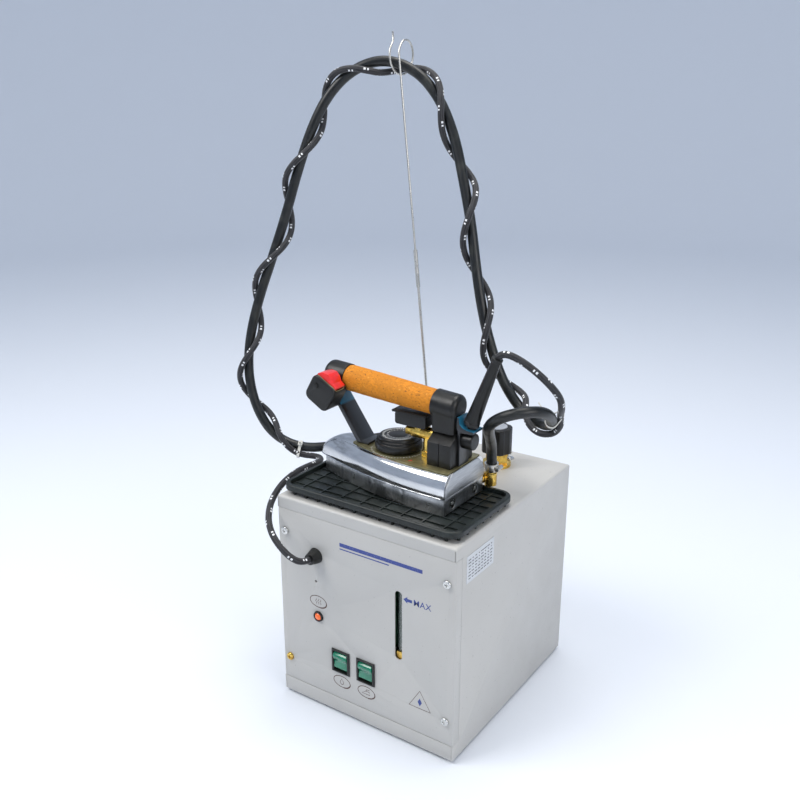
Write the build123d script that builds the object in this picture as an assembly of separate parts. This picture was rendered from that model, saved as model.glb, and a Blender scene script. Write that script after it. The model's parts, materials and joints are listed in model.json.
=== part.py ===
"""Table-top steam generator with its iron, built as separate pieces.

Frame: millimetres, +Z up, front panel towards -Y, +X to the right of somebody facing the panel.
The origin is the middle of the footprint, on the surface that the rubber feet stand on.
"""
from build123d import *
from math import cos, pi, radians, sin, sqrt, tan
import os

os.makedirs("parts", exist_ok=True)

# ---------------------------------------------------------------- driving dimensions
WIDTH, DEPTH, HEIGHT = 240.0, 272.0, 261.0      # cabinet, without its feet
FOOT = 4.0                                      # height of the rubber feet
SHEET = 1.5                                     # sheet-steel thickness
TOP_LIP, BASE_LIP = 15.0, 19.0                  # folded lips above and below the front panel
CORNER_FLANGE = 13.0                            # front panel's return on each side
GAP = 0.4                                       # clearance between neighbouring pieces

TOP = FOOT + HEIGHT                             # upper face of the cabinet
HALF_W, HALF_D = WIDTH / 2, DEPTH / 2
PANEL_LOW, PANEL_HIGH = FOOT + BASE_LIP, TOP - TOP_LIP

# Front panel fittings: (x, z) of each centre
SWITCHES = {"left": (-32.7, 73.6), "right": (3.0, 73.6)}
SWITCH_W, SWITCH_H = 25.4, 30.0                 # bezel of a rocker switch
ROCKER_TILT = 9.0                               # each way from the middle
LAMP_X, LAMP_Z, LAMP_R = -64.2, 123.8, 6.8
GLAND_X, GLAND_Z, GLAND_R, GLAND_LENGTH = -65.6, 202.4, 9.5, 12.0
VENT_X, VENT_Z = -66.7, 169.0
GAUGE_X, GAUGE_LOW, GAUGE_HIGH, GAUGE_SLOT = 48.2, 107.5, 193.6, 9.6
PANEL_SCREWS = [(-110.0, 52.8), (-110.0, 222.0), (110.0, 52.8), (110.0, 222.0)]
SCREW_R, SCREW_HEAD_R = 2.0, 4.8
DRAIN_X, DRAIN_Z = 0.0, 62.0                    # drain valve and mains inlet, on the rear panel
INLET_X, INLET_Z = -80.0, 60.0

# Boiler and what stands on the cabinet's top
TANK_R, TANK_LENGTH, TANK_Y, TANK_Z = 76.0, 196.0, 26.0, 116.0
CAP_X, CAP_Y = 45.0, 84.0
OUTLET_X, OUTLET_Y, OUTLET_RISE = -62.0, 54.4, 26.7
EYE_X, EYE_Y = 49.5, 110.0
ANTENNA_X, ANTENNA_Y = -42.0, 72.0
ANTENNA_LEAN = -50.5 / 487.0                    # sideways travel for each mm of rise
ANTENNA_TOP = 476.0                             # above the cabinet, where the eye begins
EYE_RADIUS, EYE_TURNS, EYE_PITCH = 19.0, 1.2, 13.0

# Iron rest
REST_X0, REST_X1, REST_Y0, REST_Y1 = -119.0, 117.0, -131.0, -4.0
PEG_HEIGHT, REST_FLOOR, REST_RIB, REST_RIM = 6.0, 8.0, 9.55, 13.0   # above the cabinet
REST_CORNER, RIM_THICK = 15.0, 5.0

# Iron: heights are above the cabinet's top
IRON_Y = -54.0
SOLE_LOW, SOLE_HIGH, COVER_HIGH, PLATE_HIGH = 9.6, 29.0, 54.5, 56.0
HEEL_X, NOSE_X, HALF_IRON = 79.5, -123.0, 43.0
WIDEST_X = 58.0
DIAL_X, DIAL_R, DIAL_LOW, DIAL_HIGH = -7.0, 27.0, 58.0, 72.5
GRIP_FRONT, GRIP_REAR = (-75.0, 127.7), (43.0, 119.8)       # x and height of the grip's ends
GRIP_R0, GRIP_R1, CAP_R = 15.0, 14.0, 15.6
STRIP_W, STRIP_T = 26.5, 4.5
BOX_X0, BOX_X1, BOX_Y0, BOX_Y1, BOX_HIGH = 46.0, 75.5, -78.0, -31.0, 91.5
BOX_SLOPE, BOX_EDGE = 14.0, 83.0                # the box's front top edge: how deep, and from what height
SWITCH_MID, SWITCH_LEAN = (-89.0, 115.9), 30.0              # housing of the steam switch
SWITCH_LONG, SWITCH_DEEP, SWITCH_Y0, SWITCH_Y1 = 35.0, 34.0, -93.0, -70.2
BOOT_LOW, BOOT_HIGH = (86.6, 103.6), (113.9, 177.3)
ELBOW_X, ELBOW_Y = 80.5, 4.5

# Hose and cable
HOSE_D, CABLE_D = 12.0, 7.6
TWIST_R, POINTS_PER_TURN = 11.7, 8

# Route of the steam hose, from the boiler's outlet over the antenna's eye to the iron's heel
HOSE_ROUTE = [
    (-80, 43, 289), (-113, 22, 284), (-147, -3, 274), (-181, -24, 272), (-213, -37, 287),
    (-237, -40, 319), (-251, -37, 362), (-253, -28, 409), (-246, -14, 459), (-234, 1, 509),
    (-220, 13, 560), (-207, 22, 612), (-191, 32, 663), (-173, 44, 702), (-148, 60, 729),
    (-116, 79, 740), (-79, 91, 726), (-50, 95, 695), (-27, 91, 653), (-10, 83, 607),
    (7, 74, 559), (20, 65, 509), (34, 59, 458), (48, 59, 415), (66, 59, 377),
    (94, 55, 350), (127, 39, 347), (148, 14, 360), (159, -10, 377), (162, -36, 392),
    (150, -58, 396), (129, -67, 389), (110, -58, 374), (98, -36, 356), (88.5, -13, 337),
    (81.5, 3.5, 319), (81, 5, 293),
]
# Cable: from the front gland to the first tie, and from the second tie to the iron's boot
CABLE_START = [
    (-65.6, -148.7, 202.4), (-66, -160, 204), (-73, -169, 211), (-87, -171, 221),
    (-104, -166, 231), (-120, -154, 241), (-131, -136, 253), (-136, -112, 264),
    (-138, -86, 269), (-137, -61, 270), (-138, -40, 267), (-144, -25, 265), (-156, -18, 264),
]
CABLE_END = [
    (172, -15, 391), (175, -26, 406), (169, -37, 421), (157, -45, 435), (142, -50, 446),
    (128, -53, 452), (119, -54, 451), (115.8, -54, 447.3),
]
TWIST_FROM, TWIST_TO = 0.083, 0.843             # shares of the hose's length
TWIST_TURNS, TWIST_PHASE = 8.46, radians(-20)
SIDE_ON = (0.2, -0.9, -0.35)                    # direction that the turns are counted from
SLACK, SLACK_WAVES = 1.6, 5                     # the cable stands off further now and then


# ---------------------------------------------------------------- helpers
def block(x0, x1, y0, y1, z0, z1):
    """Box between two corners."""
    return Pos((x0 + x1) / 2, (y0 + y1) / 2, (z0 + z1) / 2) * Box(x1 - x0, y1 - y0, z1 - z0)


def rod(start, end, radius, end_radius=None):
    """Round bar, or a cone, between two points."""
    a, b = Vector(*start), Vector(*end)
    plane = Plane(origin=(a + b) / 2, z_dir=b - a)
    if end_radius is None:
        return plane * Cylinder(radius, (b - a).length)
    return plane * Cone(radius, end_radius, (b - a).length)


def hexagon_bar(start, end, across_flats):
    """Hexagonal bar between two points."""
    a, b = Vector(*start), Vector(*end)
    face = RegularPolygon(across_flats / 2, 6, major_radius=False)
    return Plane(origin=a, z_dir=b - a) * extrude(face, (b - a).length)


def side_plate(outline, y0, y1):
    """Solid with an outline in X and Z, between two values of Y."""
    face = make_face(Polyline(*[(x, 0, z) for x, z in outline], close=True))
    return Pos(0, y1, 0) * extrude(face, y1 - y0, dir=(0, -1, 0))


def above(height):
    """Z of a height above the cabinet's top."""
    return TOP + height


def write(name, *solids):
    """One STEP file for one node: one solid, or a group of separate like solids."""
    shape = solids[0] if len(solids) == 1 else Compound(children=[Solid(s.solid().wrapped) for s in solids])
    export_step(shape, f"parts/{name}.step")


def bend_path(points, label=None):
    """Straight runs joined by the largest tangent arcs that their lengths allow."""
    points = [Vector(*p) for p in points]
    radii = []
    for before, corner, after in zip(points, points[1:], points[2:]):
        half_turn = radians((corner - before).get_angle(after - corner)) / 2
        run = min((corner - before).length, (after - corner).length)
        radii.append(0.45 * run / tan(half_turn))
    if label:
        print(label, "radii", [round(r) for r in radii])
    return FilletPolyline(*points, radius=radii)


def tube(path, diameter):
    """Round bar along a path of runs and arcs."""
    start = Plane(origin=path @ 0, z_dir=path % 0)
    return sweep(start * Circle(diameter / 2), path=path)


# ---------------------------------------------------------------- cabinet
def cover_shell():
    outer = block(-HALF_W, HALF_W, -HALF_D, HALF_D, FOOT, TOP)
    outer = fillet(outer.faces().sort_by(Axis.Z)[-1].edges(), 3.0)
    inner = block(-HALF_W + SHEET, HALF_W - SHEET, -HALF_D + SHEET, HALF_D - SHEET, 0, TOP - SHEET)
    shell = outer - fillet(inner.faces().sort_by(Axis.Z)[-1].edges(), 1.5)
    for side in (-1, 1):
        y0, y1 = sorted((side * (HALF_D + 1), side * (HALF_D - 2 * SHEET)))
        shell -= block(-HALF_W + SHEET, HALF_W - SHEET, y0, y1, 0, PANEL_HIGH)
        x0, x1 = sorted((side * (HALF_W + 1), side * (HALF_W - 2 * SHEET)))
        shell -= block(x0, x1, -HALF_D - 1, -HALF_D + CORNER_FLANGE, PANEL_LOW, PANEL_HIGH)
        seam = side * (HALF_W - SHEET)
        shell -= block(seam - 0.35, seam + 0.35, -HALF_D - 1, -HALF_D + 2 * SHEET, PANEL_HIGH - 1, TOP - 3)
    shell -= rod((CAP_X, CAP_Y, TOP - 5), (CAP_X, CAP_Y, TOP + 5), 14.0)
    shell -= rod((OUTLET_X, OUTLET_Y, TOP - 5), (OUTLET_X, OUTLET_Y, TOP + 5), 9.0)
    shell -= rod((ANTENNA_X, ANTENNA_Y, TOP - 5), (ANTENNA_X, ANTENNA_Y, TOP + 5), 4.2)
    shell -= rod((EYE_X, EYE_Y, TOP - 5), (EYE_X, EYE_Y, TOP + 5), 2.1)
    return shell


def base_pan():
    lift = SHEET + GAP
    pan = block(-HALF_W + lift, HALF_W - lift, -HALF_D, HALF_D, FOOT, FOOT + BASE_LIP - GAP)
    pan -= block(-HALF_W + lift + SHEET, HALF_W - lift - SHEET, -HALF_D + SHEET, HALF_D - SHEET,
                 FOOT + SHEET, TOP)
    for x in (-80, -40, 0, 40, 80):
        for y in (-30, -10, 10):
            slot = SlotOverall(26, 5, rotation=90)
            pan -= Pos(x, y * 2.4, FOOT - 1) * extrude(slot, 4)
    return pan


def front_panel():
    y0, y1 = -HALF_D, -HALF_D + SHEET
    low, high = PANEL_LOW + GAP, PANEL_HIGH - GAP
    panel = block(-HALF_W, HALF_W, y0, -HALF_D + CORNER_FLANGE - GAP, low, high)
    panel = fillet(panel.faces().sort_by(Axis.Y)[0].edges().filter_by(Axis.Z), 1.4)
    panel -= block(-HALF_W + SHEET, HALF_W - SHEET, y1, y1 + 40, low - 1, high + 1)
    for x, z in SWITCHES.values():
        panel -= block(x - 11.3, x + 11.3, y0 - 1, y1 + 1, z - 13.9, z + 13.9)
    for x, z, radius in [(LAMP_X, LAMP_Z, 5.4), (GLAND_X, GLAND_Z, 7.4), (VENT_X, VENT_Z, 1.5)]:
        panel -= rod((x, y0 - 1, z), (x, y1 + 1, z), radius)
    for x, z in PANEL_SCREWS:
        panel -= rod((x, y0 - 1, z), (x, y1 + 1, z), SCREW_R + 0.3)
    slot = SlotOverall(GAUGE_HIGH - GAUGE_LOW, GAUGE_SLOT, rotation=90)
    window = Plane(origin=(GAUGE_X, y0 - 1, (GAUGE_LOW + GAUGE_HIGH) / 2), x_dir=(1, 0, 0), z_dir=(0, -1, 0))
    panel -= window * extrude(slot, -SHEET - 2)
    return panel


def rear_panel():
    y0, y1 = HALF_D - SHEET, HALF_D
    edge = HALF_W - SHEET - GAP
    panel = block(-edge, edge, y0, y1, PANEL_LOW + GAP, PANEL_HIGH - GAP)
    panel -= rod((DRAIN_X, y0 - 1, DRAIN_Z), (DRAIN_X, y1 + 1, DRAIN_Z), 7.0)
    panel -= rod((INLET_X, y0 - 1, INLET_Z), (INLET_X, y1 + 1, INLET_Z), 7.4)
    for x, z in PANEL_SCREWS:
        panel -= rod((x, y0 - 1, z), (x, y1 + 1, z), SCREW_R + 0.3)
    for row in range(6):
        for column in range(5):
            slot = Plane(origin=(column * 30 - 60, y1 + 1, 160 + row * 10), x_dir=(-1, 0, 0), z_dir=(0, 1, 0))
            panel -= slot * extrude(SlotOverall(22, 3.6), -SHEET - 2)
    return panel


def corner_posts():
    """Four L posts that the panels' screws bite into."""
    posts = []
    for sx in (-1, 1):
        for sy in (-1, 1):
            face = HALF_D - SHEET - 0.05
            x_out, x_in = sx * (HALF_W - 2 * SHEET - 2 * GAP), sx * (HALF_W - 24)
            y_out, y_in = sy * face, sy * (face - 16)
            post = block(*sorted((x_out, x_in)), *sorted((y_out, y_in)), FOOT + SHEET, TOP - SHEET - 2.2)
            post -= block(*sorted((x_out - sx * 2, x_in - sx)), *sorted((y_out - sy * 2, y_in - sy)), 0, TOP)
            post -= block(*sorted((x_out + sx, x_out - sx * 2.5)), *sorted((y_out + sy, y_out - sy * 2.5)),
                          0, FOOT + BASE_LIP)
            for x, z in PANEL_SCREWS:
                if x * sx > 0:
                    post -= rod((x, y_out + sy, z), (x, y_out - sy * 3, z), SCREW_R)
            posts.append(post)
    return posts


def pan_screw(x, z, side):
    """Pan-head screw through a panel; side is -1 at the front and 1 at the rear."""
    face = side * HALF_D
    head = rod((x, face, z), (x, face + side * 2.8, z), SCREW_HEAD_R)
    head = fillet(head.faces().sort_by(Axis.Y)[0 if side < 0 else -1].edges(), 1.6)
    screw = head + rod((x, face, z), (x, face - side * 9, z), SCREW_R)
    for turn in (0, 90):
        cross = Pos(x, face + side * 2.8, z) * Rot(0, turn, 0) * Box(5.0, 2.4, 1.0)
        screw -= cross
    return screw


def rubber_feet():
    feet = []
    for x in (-96, 96):
        for y in (-110, 110):
            feet.append(rod((x, y, 0), (x, y, FOOT), 9.0, 10.5))
    return feet


def switch_housing(x, z):
    y = -HALF_D
    bezel = block(x - SWITCH_W / 2, x + SWITCH_W / 2, y - 2.0, y, z - SWITCH_H / 2, z + SWITCH_H / 2)
    bezel = fillet(bezel.faces().sort_by(Axis.Y)[0].edges(), 1.2)
    body = bezel + block(x - 11, x + 11, y, y + 20, z - 13.6, z + 13.6)
    body -= block(x - 9.9, x + 9.9, y - 3, y + 12, z - 13.0, z + 13.0)
    body -= rod((x - 10.7, y + 2.5, z), (x + 10.7, y + 2.5, z), 1.55)
    for dx in (-6, 0, 6):
        body += block(x + dx - 2.4, x + dx + 2.4, y + 20, y + 28, z - 0.4, z + 0.4)
    return body


def switch_rocker(x, z):
    """Rocker in its lower-end-pressed position, with its pivot pins."""
    face, end = -4.4, 11.7
    outline = [(-1.6, 0), (face, end), (2.0, end), (5.2, 4), (5.2, -4), (2.0, -end), (face, -end)]
    profile = make_face(Polyline(*[(0, y, z_) for y, z_ in outline], close=True))
    rocker = extrude(profile, 9.5, dir=(1, 0, 0), both=True)
    rocker += rod((-10.6, 0, 0), (10.6, 0, 0), 1.5)
    return Pos(x, -HALF_D + 2.5, z) * Rot(ROCKER_TILT, 0, 0) * rocker


def pilot_lamp():
    y = -HALF_D
    bezel = rod((LAMP_X, y - 2.2, LAMP_Z), (LAMP_X, y, LAMP_Z), LAMP_R - 0.6, LAMP_R)
    bezel += rod((LAMP_X, y, LAMP_Z), (LAMP_X, y + 16, LAMP_Z), 5.2)
    bezel -= rod((LAMP_X, y - 3, LAMP_Z), (LAMP_X, y + 12, LAMP_Z), 4.75)
    dome = Pos(LAMP_X, y - 0.2, LAMP_Z) * scale(Sphere(4.7), by=(1, 0.75, 1))
    lens = rod((LAMP_X, y - 0.4, LAMP_Z), (LAMP_X, y + 8, LAMP_Z), 4.7)
    lens += dome & block(LAMP_X - 9, LAMP_X + 9, y - 9, y, LAMP_Z - 9, LAMP_Z + 9)
    return bezel, lens


def cable_gland():
    y = -HALF_D
    gland = rod((GLAND_X, y - GLAND_LENGTH, GLAND_Z), (GLAND_X, y, GLAND_Z), 6.6, GLAND_R)
    gland += rod((GLAND_X, y, GLAND_Z), (GLAND_X, y + SHEET, GLAND_Z), 7.3)
    gland += rod((GLAND_X, y + SHEET, GLAND_Z), (GLAND_X, y + SHEET + 3, GLAND_Z), 9.0)
    return gland


def level_gauge():
    """Sight glass behind the slot, its two brass unions and a dark backing channel."""
    y = -HALF_D + SHEET + 7.5
    glass = rod((GAUGE_X, y, GAUGE_LOW + 9), (GAUGE_X, y, GAUGE_HIGH + 6), 5.0)
    glass -= rod((GAUGE_X, y, GAUGE_LOW), (GAUGE_X, y, GAUGE_HIGH + 12), 3.6)
    unions = []
    for low, high, pipe in [(GAUGE_LOW - 12, GAUGE_LOW + 9, GAUGE_LOW - 5),
                            (GAUGE_HIGH + 6, GAUGE_HIGH + 24, GAUGE_HIGH + 18)]:
        union = hexagon_bar((GAUGE_X, y, low), (GAUGE_X, y, high), 13.0)
        unions.append(union + rod((GAUGE_X, y + 5, pipe), (GAUGE_X, y + 24, pipe), 3.5))
    backing = block(GAUGE_X - 9, GAUGE_X + 9, y + 6.9, y + 8.4, GAUGE_LOW + 10, GAUGE_HIGH + 4)
    for side in (-1, 1):
        x0, x1 = sorted((GAUGE_X + side * 9, GAUGE_X + side * 7.8))
        backing += block(x0, x1, -HALF_D + SHEET + 0.3, y + 8.4, GAUGE_LOW + 10, GAUGE_HIGH + 4)
    return glass, unions, backing


def rating_plate():
    return block(HALF_W, HALF_W + 0.4, -115, -57, FOOT + 211, FOOT + 243)


# ---------------------------------------------------------------- boiler
def boiler_tank():
    tank = rod((-TANK_LENGTH / 2, TANK_Y, TANK_Z), (TANK_LENGTH / 2, TANK_Y, TANK_Z), TANK_R)
    tank = fillet(tank.edges().filter_by(GeomType.CIRCLE), 14.0)
    inner = rod((-TANK_LENGTH / 2 + 2, TANK_Y, TANK_Z), (TANK_LENGTH / 2 - 2, TANK_Y, TANK_Z), TANK_R - 2)
    tank -= fillet(inner.edges().filter_by(GeomType.CIRCLE), 12.0)
    tank += (rod((CAP_X, CAP_Y, 150), (CAP_X, CAP_Y, 196), 14.0)
             - rod((CAP_X, CAP_Y, 140), (CAP_X, CAP_Y, 200), 9.0))
    tank += (rod((OUTLET_X, OUTLET_Y, 180), (OUTLET_X, OUTLET_Y, 214), 11.0)
             - rod((OUTLET_X, OUTLET_Y, 170), (OUTLET_X, OUTLET_Y, 220), 5.0))
    for x in (-70, 60):
        saddle = block(x, x + 10, TANK_Y - 55, TANK_Y + 55, FOOT + SHEET, 72)
        tank += saddle - rod((x - 1, TANK_Y, TANK_Z), (x + 11, TANK_Y, TANK_Z), TANK_R - 1)
    return tank


def heating_element():
    x = TANK_LENGTH / 2
    flange = rod((x, TANK_Y, 92), (x + 5, TANK_Y, 92), 26.0)
    element = flange + hexagon_bar((x + 5, TANK_Y, 92), (x + 10, TANK_Y, 92), 30.0)
    for dy in (-9, 9):
        element += rod((x + 10, TANK_Y + dy, 92), (x + 17, TANK_Y + dy, 92), 2.5)
    return element


def pressure_switch():
    """Set on a short stem above the tank, behind the front panel."""
    z = TANK_Z + sqrt(TANK_R ** 2 - 46 ** 2)
    body = block(-30, 8, TANK_Y - 68, TANK_Y - 34, z + 14, z + 52)
    stem = rod((-11, TANK_Y - 46, z + 4), (-11, TANK_Y - 46, z + 14), 5.0)
    return fillet(body.edges().filter_by(Axis.Z), 3.0) + stem


def filler_neck():
    neck = rod((CAP_X, CAP_Y, 196), (CAP_X, CAP_Y, above(2)), 13.0)
    neck += rod((CAP_X, CAP_Y, TOP), (CAP_X, CAP_Y, above(3.5)), 18.0)
    neck += hexagon_bar((CAP_X, CAP_Y, above(3.5)), (CAP_X, CAP_Y, above(17)), 26.0)
    return neck - rod((CAP_X, CAP_Y, 190), (CAP_X, CAP_Y, above(18)), 9.0)


def filler_cap():
    """Lobed knob, its printed disc, and the plug that seals the neck."""
    low, high = above(18), above(50)
    knob = rod((CAP_X, CAP_Y, low), (CAP_X, CAP_Y, high), 18.6)
    for turn in range(8):
        angle = radians(turn * 45 + 22.5)
        x, y = CAP_X + 25.6 * cos(angle), CAP_Y + 25.6 * sin(angle)
        knob -= rod((x, y, low - 1), (x, y, high + 1), 8.6)
    knob = chamfer(knob.faces().sort_by(Axis.Z)[-1].edges(), 1.2)
    knob -= rod((CAP_X, CAP_Y, high - 0.8), (CAP_X, CAP_Y, high + 1), 12.3)
    knob -= rod((CAP_X, CAP_Y, low - 1), (CAP_X, CAP_Y, low + 8), 5.05)
    disc = rod((CAP_X, CAP_Y, high - 0.8), (CAP_X, CAP_Y, high + 0.6), 12.2)
    plug = rod((CAP_X, CAP_Y, above(-4)), (CAP_X, CAP_Y, above(17.3)), 8.94)
    plug += rod((CAP_X, CAP_Y, above(17.3)), (CAP_X, CAP_Y, low - 0.3), 12.4)
    plug += rod((CAP_X, CAP_Y, low - 0.3), (CAP_X, CAP_Y, low + 7), 5.0)
    return knob, disc, plug


def steam_outlet():
    x, y, z = OUTLET_X, OUTLET_Y, above(OUTLET_RISE)
    body = rod((x, y, 214), (x, y, z), 8.0)
    body += hexagon_bar((x, y, TOP + 0.3), (x, y, above(8)), 21.0)
    body += Pos(x, y, z) * Sphere(8.0)
    end, ahead = Vector(*HOSE_ROUTE[0]), Vector(*HOSE_ROUTE[1])
    end -= (ahead - end).normalized() * 0.4
    body += rod((x, y, z), (end.X, end.Y, end.Z), 6.5)
    return body


def eye_screw():
    shank = rod((EYE_X, EYE_Y, TOP - 12), (EYE_X, EYE_Y, above(3)), 2.0)
    shank += rod((EYE_X, EYE_Y, TOP + 0.05), (EYE_X, EYE_Y, above(1.4)), 6.0)
    ring = Pos(EYE_X, EYE_Y, above(6.6)) * Rot(0, 90, 0) * Torus(4.4, 1.3)
    return shank + ring


def drain_valve():
    x, z, y = DRAIN_X, DRAIN_Z, HALF_D
    body = rod((x, 86, z), (x, y, z), 6.5)
    body += hexagon_bar((x, y + 0.1, z), (x, y + 14, z), 20.0) + rod((x, y + 14, z), (x, y + 26, z), 7.0)
    body += rod((x, y + 7, z), (x, y + 7, z + 16), 5.0)
    body -= rod((x, y + 4, z), (x, y + 30, z), 4.0)
    lever = rod((x, y + 7, z + 16.3), (x, y + 7, z + 19.3), 7.0)
    lever += block(x, x + 37, y + 2, y + 12, z + 17.3, z + 19.3)
    lever += fillet(block(x + 13, x + 39, y + 1, y + 13, z + 16.6, z + 20.6).edges(), 1.5)
    return body, lever


def mains_inlet():
    x, z, y = INLET_X, INLET_Z, HALF_D
    gland = rod((x, y - SHEET, z), (x, y, z), 7.3)
    gland += hexagon_bar((x, y, z), (x, y + 6, z), 22.0) + rod((x, y + 6, z), (x, y + 16, z), 9.5, 7.5)
    gland += hexagon_bar((x, y - SHEET - 5, z), (x, y - SHEET, z), 22.0)
    return gland - rod((x, y - 10, z), (x, y + 20, z), 4.2)


# ---------------------------------------------------------------- antenna
def antenna_point(rise):
    """Point on the antenna's line, a rise above the cabinet's top."""
    return ANTENNA_X + ANTENNA_LEAN * rise, ANTENNA_Y, above(rise)


def antenna_socket():
    x, y = ANTENNA_X, ANTENNA_Y
    socket = rod((x, y, TOP - 16), (x, y, TOP), 4.0) + rod((x, y, TOP), (x, y, above(3)), 8.5)
    socket += hexagon_bar((x, y, above(3)), (x, y, above(9)), 13.0)
    socket += rod((x, y, above(9)), (x, y, above(20)), 5.4, 4.2)
    return socket - rod(antenna_point(2), antenna_point(30), 1.65)


def antenna_rod():
    """Spring-steel rod with a ferrule and a lighter upper wire that ends in an open eye."""
    bar = rod(antenna_point(2.2), antenna_point(235), 1.6)
    bar += rod(antenna_point(212), antenna_point(257), 2.4)
    x0, y0, z0 = antenna_point(ANTENNA_TOP)
    route = [antenna_point(240)]
    steps = 8
    for step in range(round(EYE_TURNS * steps) + 1):
        angle = radians(180 + 22.5 - 360 * step / steps)
        route.append((x0 - EYE_PITCH * step / steps,
                      y0 + EYE_RADIUS + EYE_RADIUS / cos(pi / steps) * cos(angle),
                      z0 + EYE_RADIUS / cos(pi / steps) * sin(angle)))
    end = route[-1]
    route.append((end[0] - 2, end[1] + 1, end[2] + 9))
    wire = bend_path(route, "antenna")
    return bar + tube(wire, 2.4)


# ---------------------------------------------------------------- iron rest
def rest_outline(inset):
    width, depth = REST_X1 - REST_X0 - 2 * inset, REST_Y1 - REST_Y0 - 2 * inset
    middle = ((REST_X0 + REST_X1) / 2, (REST_Y0 + REST_Y1) / 2)
    return Pos(*middle, 0) * RectangleRounded(width, depth, REST_CORNER - inset)


def iron_rest():
    rim = Pos(0, 0, above(PEG_HEIGHT)) * extrude(rest_outline(0), REST_RIM - PEG_HEIGHT)
    rim = fillet(rim.faces().sort_by(Axis.Z)[-1].edges(), 2.2)
    tray = rim - Pos(0, 0, above(REST_FLOOR)) * extrude(rest_outline(RIM_THICK), 20)
    for y in (-112, -96, -80, -64, -48, -32, -18):
        tray += block(REST_X0 + 8, REST_X1 - 8, y - 0.8, y + 0.8, above(REST_FLOOR) - 0.5, above(REST_RIB))
    for column in range(8):
        x = -96 + column * 27
        tray += block(x - 0.8, x + 0.8, REST_Y0 + 8, REST_Y1 - 8, above(REST_FLOOR) - 0.5, above(REST_RIB))
    for x, y in peg_places():
        tray += rod((x, y, TOP + 0.02), (x, y, above(PEG_HEIGHT)), 1.8, 2.6)
    return tray


def peg_places():
    """Pegs under the rim, and a few under the middle of the floor."""
    inset, places = 6.0, []
    for step in range(7):
        y = REST_Y0 + 14 + step * 16.5
        places += [(REST_X0 + inset, y), (REST_X1 - inset, y)]
    for step in range(13):
        x = REST_X0 + 16 + step * 17
        places += [(x, REST_Y0 + inset), (x, REST_Y1 - inset)]
    places += [(x, y) for x in (-60, 0, 60) for y in (-95, -67.5, -40)]
    return places


# ---------------------------------------------------------------- iron: body
def boat(half_width, nose_x, heel_x, nose_r):
    """Plan of the iron: two long arcs from the heel that meet in a rounded nose."""
    run = WIDEST_X - nose_x
    radius = (run ** 2 + half_width ** 2) / (2 * half_width)
    lens = (Pos(WIDEST_X, IRON_Y + half_width - radius) * Circle(radius)
            & Pos(WIDEST_X, IRON_Y - half_width + radius) * Circle(radius))
    plan = lens & Pos((nose_x + heel_x) / 2, IRON_Y) * Rectangle(heel_x - nose_x + 0.2, 200)
    nose = plan.vertices().sort_by(Axis.X)[0]
    return fillet(nose, nose_r)


def lift(face, height):
    return Pos(0, 0, above(height)) * face


def soleplate():
    body = extrude(lift(boat(HALF_IRON - 1, NOSE_X, HEEL_X, 9), SOLE_LOW), SOLE_HIGH - SOLE_LOW - 1.2)
    body += extrude(lift(boat(HALF_IRON - 2.2, NOSE_X + 2, HEEL_X, 8), SOLE_HIGH - 1.2), 1.2)
    for y in (IRON_Y - 24, IRON_Y + 24):
        body -= rod((HEEL_X - 14, y, above(18.5)), (HEEL_X + 1, y, above(18.5)), 3.1)
        body -= rod((HEEL_X - 3.5, y, above(18.5)), (HEEL_X + 1, y, above(18.5)), 6.2)
    inlet_y = ELBOW_Y - 10
    body -= rod((74, inlet_y - 22, above(20)), (74, inlet_y, above(20)), 4.0)
    return body


def iron_cover():
    levels = [(SOLE_HIGH, -0.8, -7.5, 10), (SOLE_HIGH + 5, 0.0, -8, 11), (SOLE_HIGH + 13, -0.6, -5, 12),
              (SOLE_HIGH + 20, -3.2, 2, 13), (COVER_HIGH, -7.0, 13, 14)]
    solid = None
    for (z0, grow0, nose0, r0), (z1, grow1, nose1, r1) in zip(levels, levels[1:]):
        low = lift(boat(HALF_IRON + grow0, NOSE_X + nose0, HEEL_X, r0), z0)
        high = lift(boat(HALF_IRON + grow1, NOSE_X + nose1, HEEL_X, r1), z1)
        slab = loft([low, high], ruled=True)
        solid = slab if solid is None else solid + slab
    hollow = lift(boat(HALF_IRON - 12, NOSE_X + 40, HEEL_X - 6, 8), SOLE_HIGH)
    solid -= extrude(hollow, COVER_HIGH - SOLE_HIGH - 3)
    solid -= rod((DIAL_X, IRON_Y, above(40)), (DIAL_X, IRON_Y, above(60)), 6.0)
    return solid


def top_plate():
    plan = boat(HALF_IRON - 8.5, NOSE_X + 27, HEEL_X - 0.5, 12)
    plan = plan & Pos(12, IRON_Y) * Rectangle(146, 200)
    plate = extrude(lift(plan, COVER_HIGH + 0.02), PLATE_HIGH - COVER_HIGH - 0.02)
    return plate - rod((DIAL_X, IRON_Y, above(40)), (DIAL_X, IRON_Y, above(60)), 6.0)


def heel_plate():
    """Raised arched plate that closes the cover at the heel."""
    half, height, shoulder = HALF_IRON - 2.2, 25.2, 13.0
    face = Plane(origin=(HEEL_X + 0.1, IRON_Y, above(SOLE_HIGH + 0.6)), x_dir=(0, 1, 0), z_dir=(1, 0, 0))
    outline = Polyline((-half, 0), (-half, height - shoulder), (-half + shoulder, height),
                       (half - shoulder, height), (half, height - shoulder), (half, 0), close=True)
    arch = make_face(outline)
    arch = fillet(arch.vertices().filter_by(lambda corner: corner.Y > 1), 8.0)
    return face * extrude(arch, 1.6)


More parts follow.
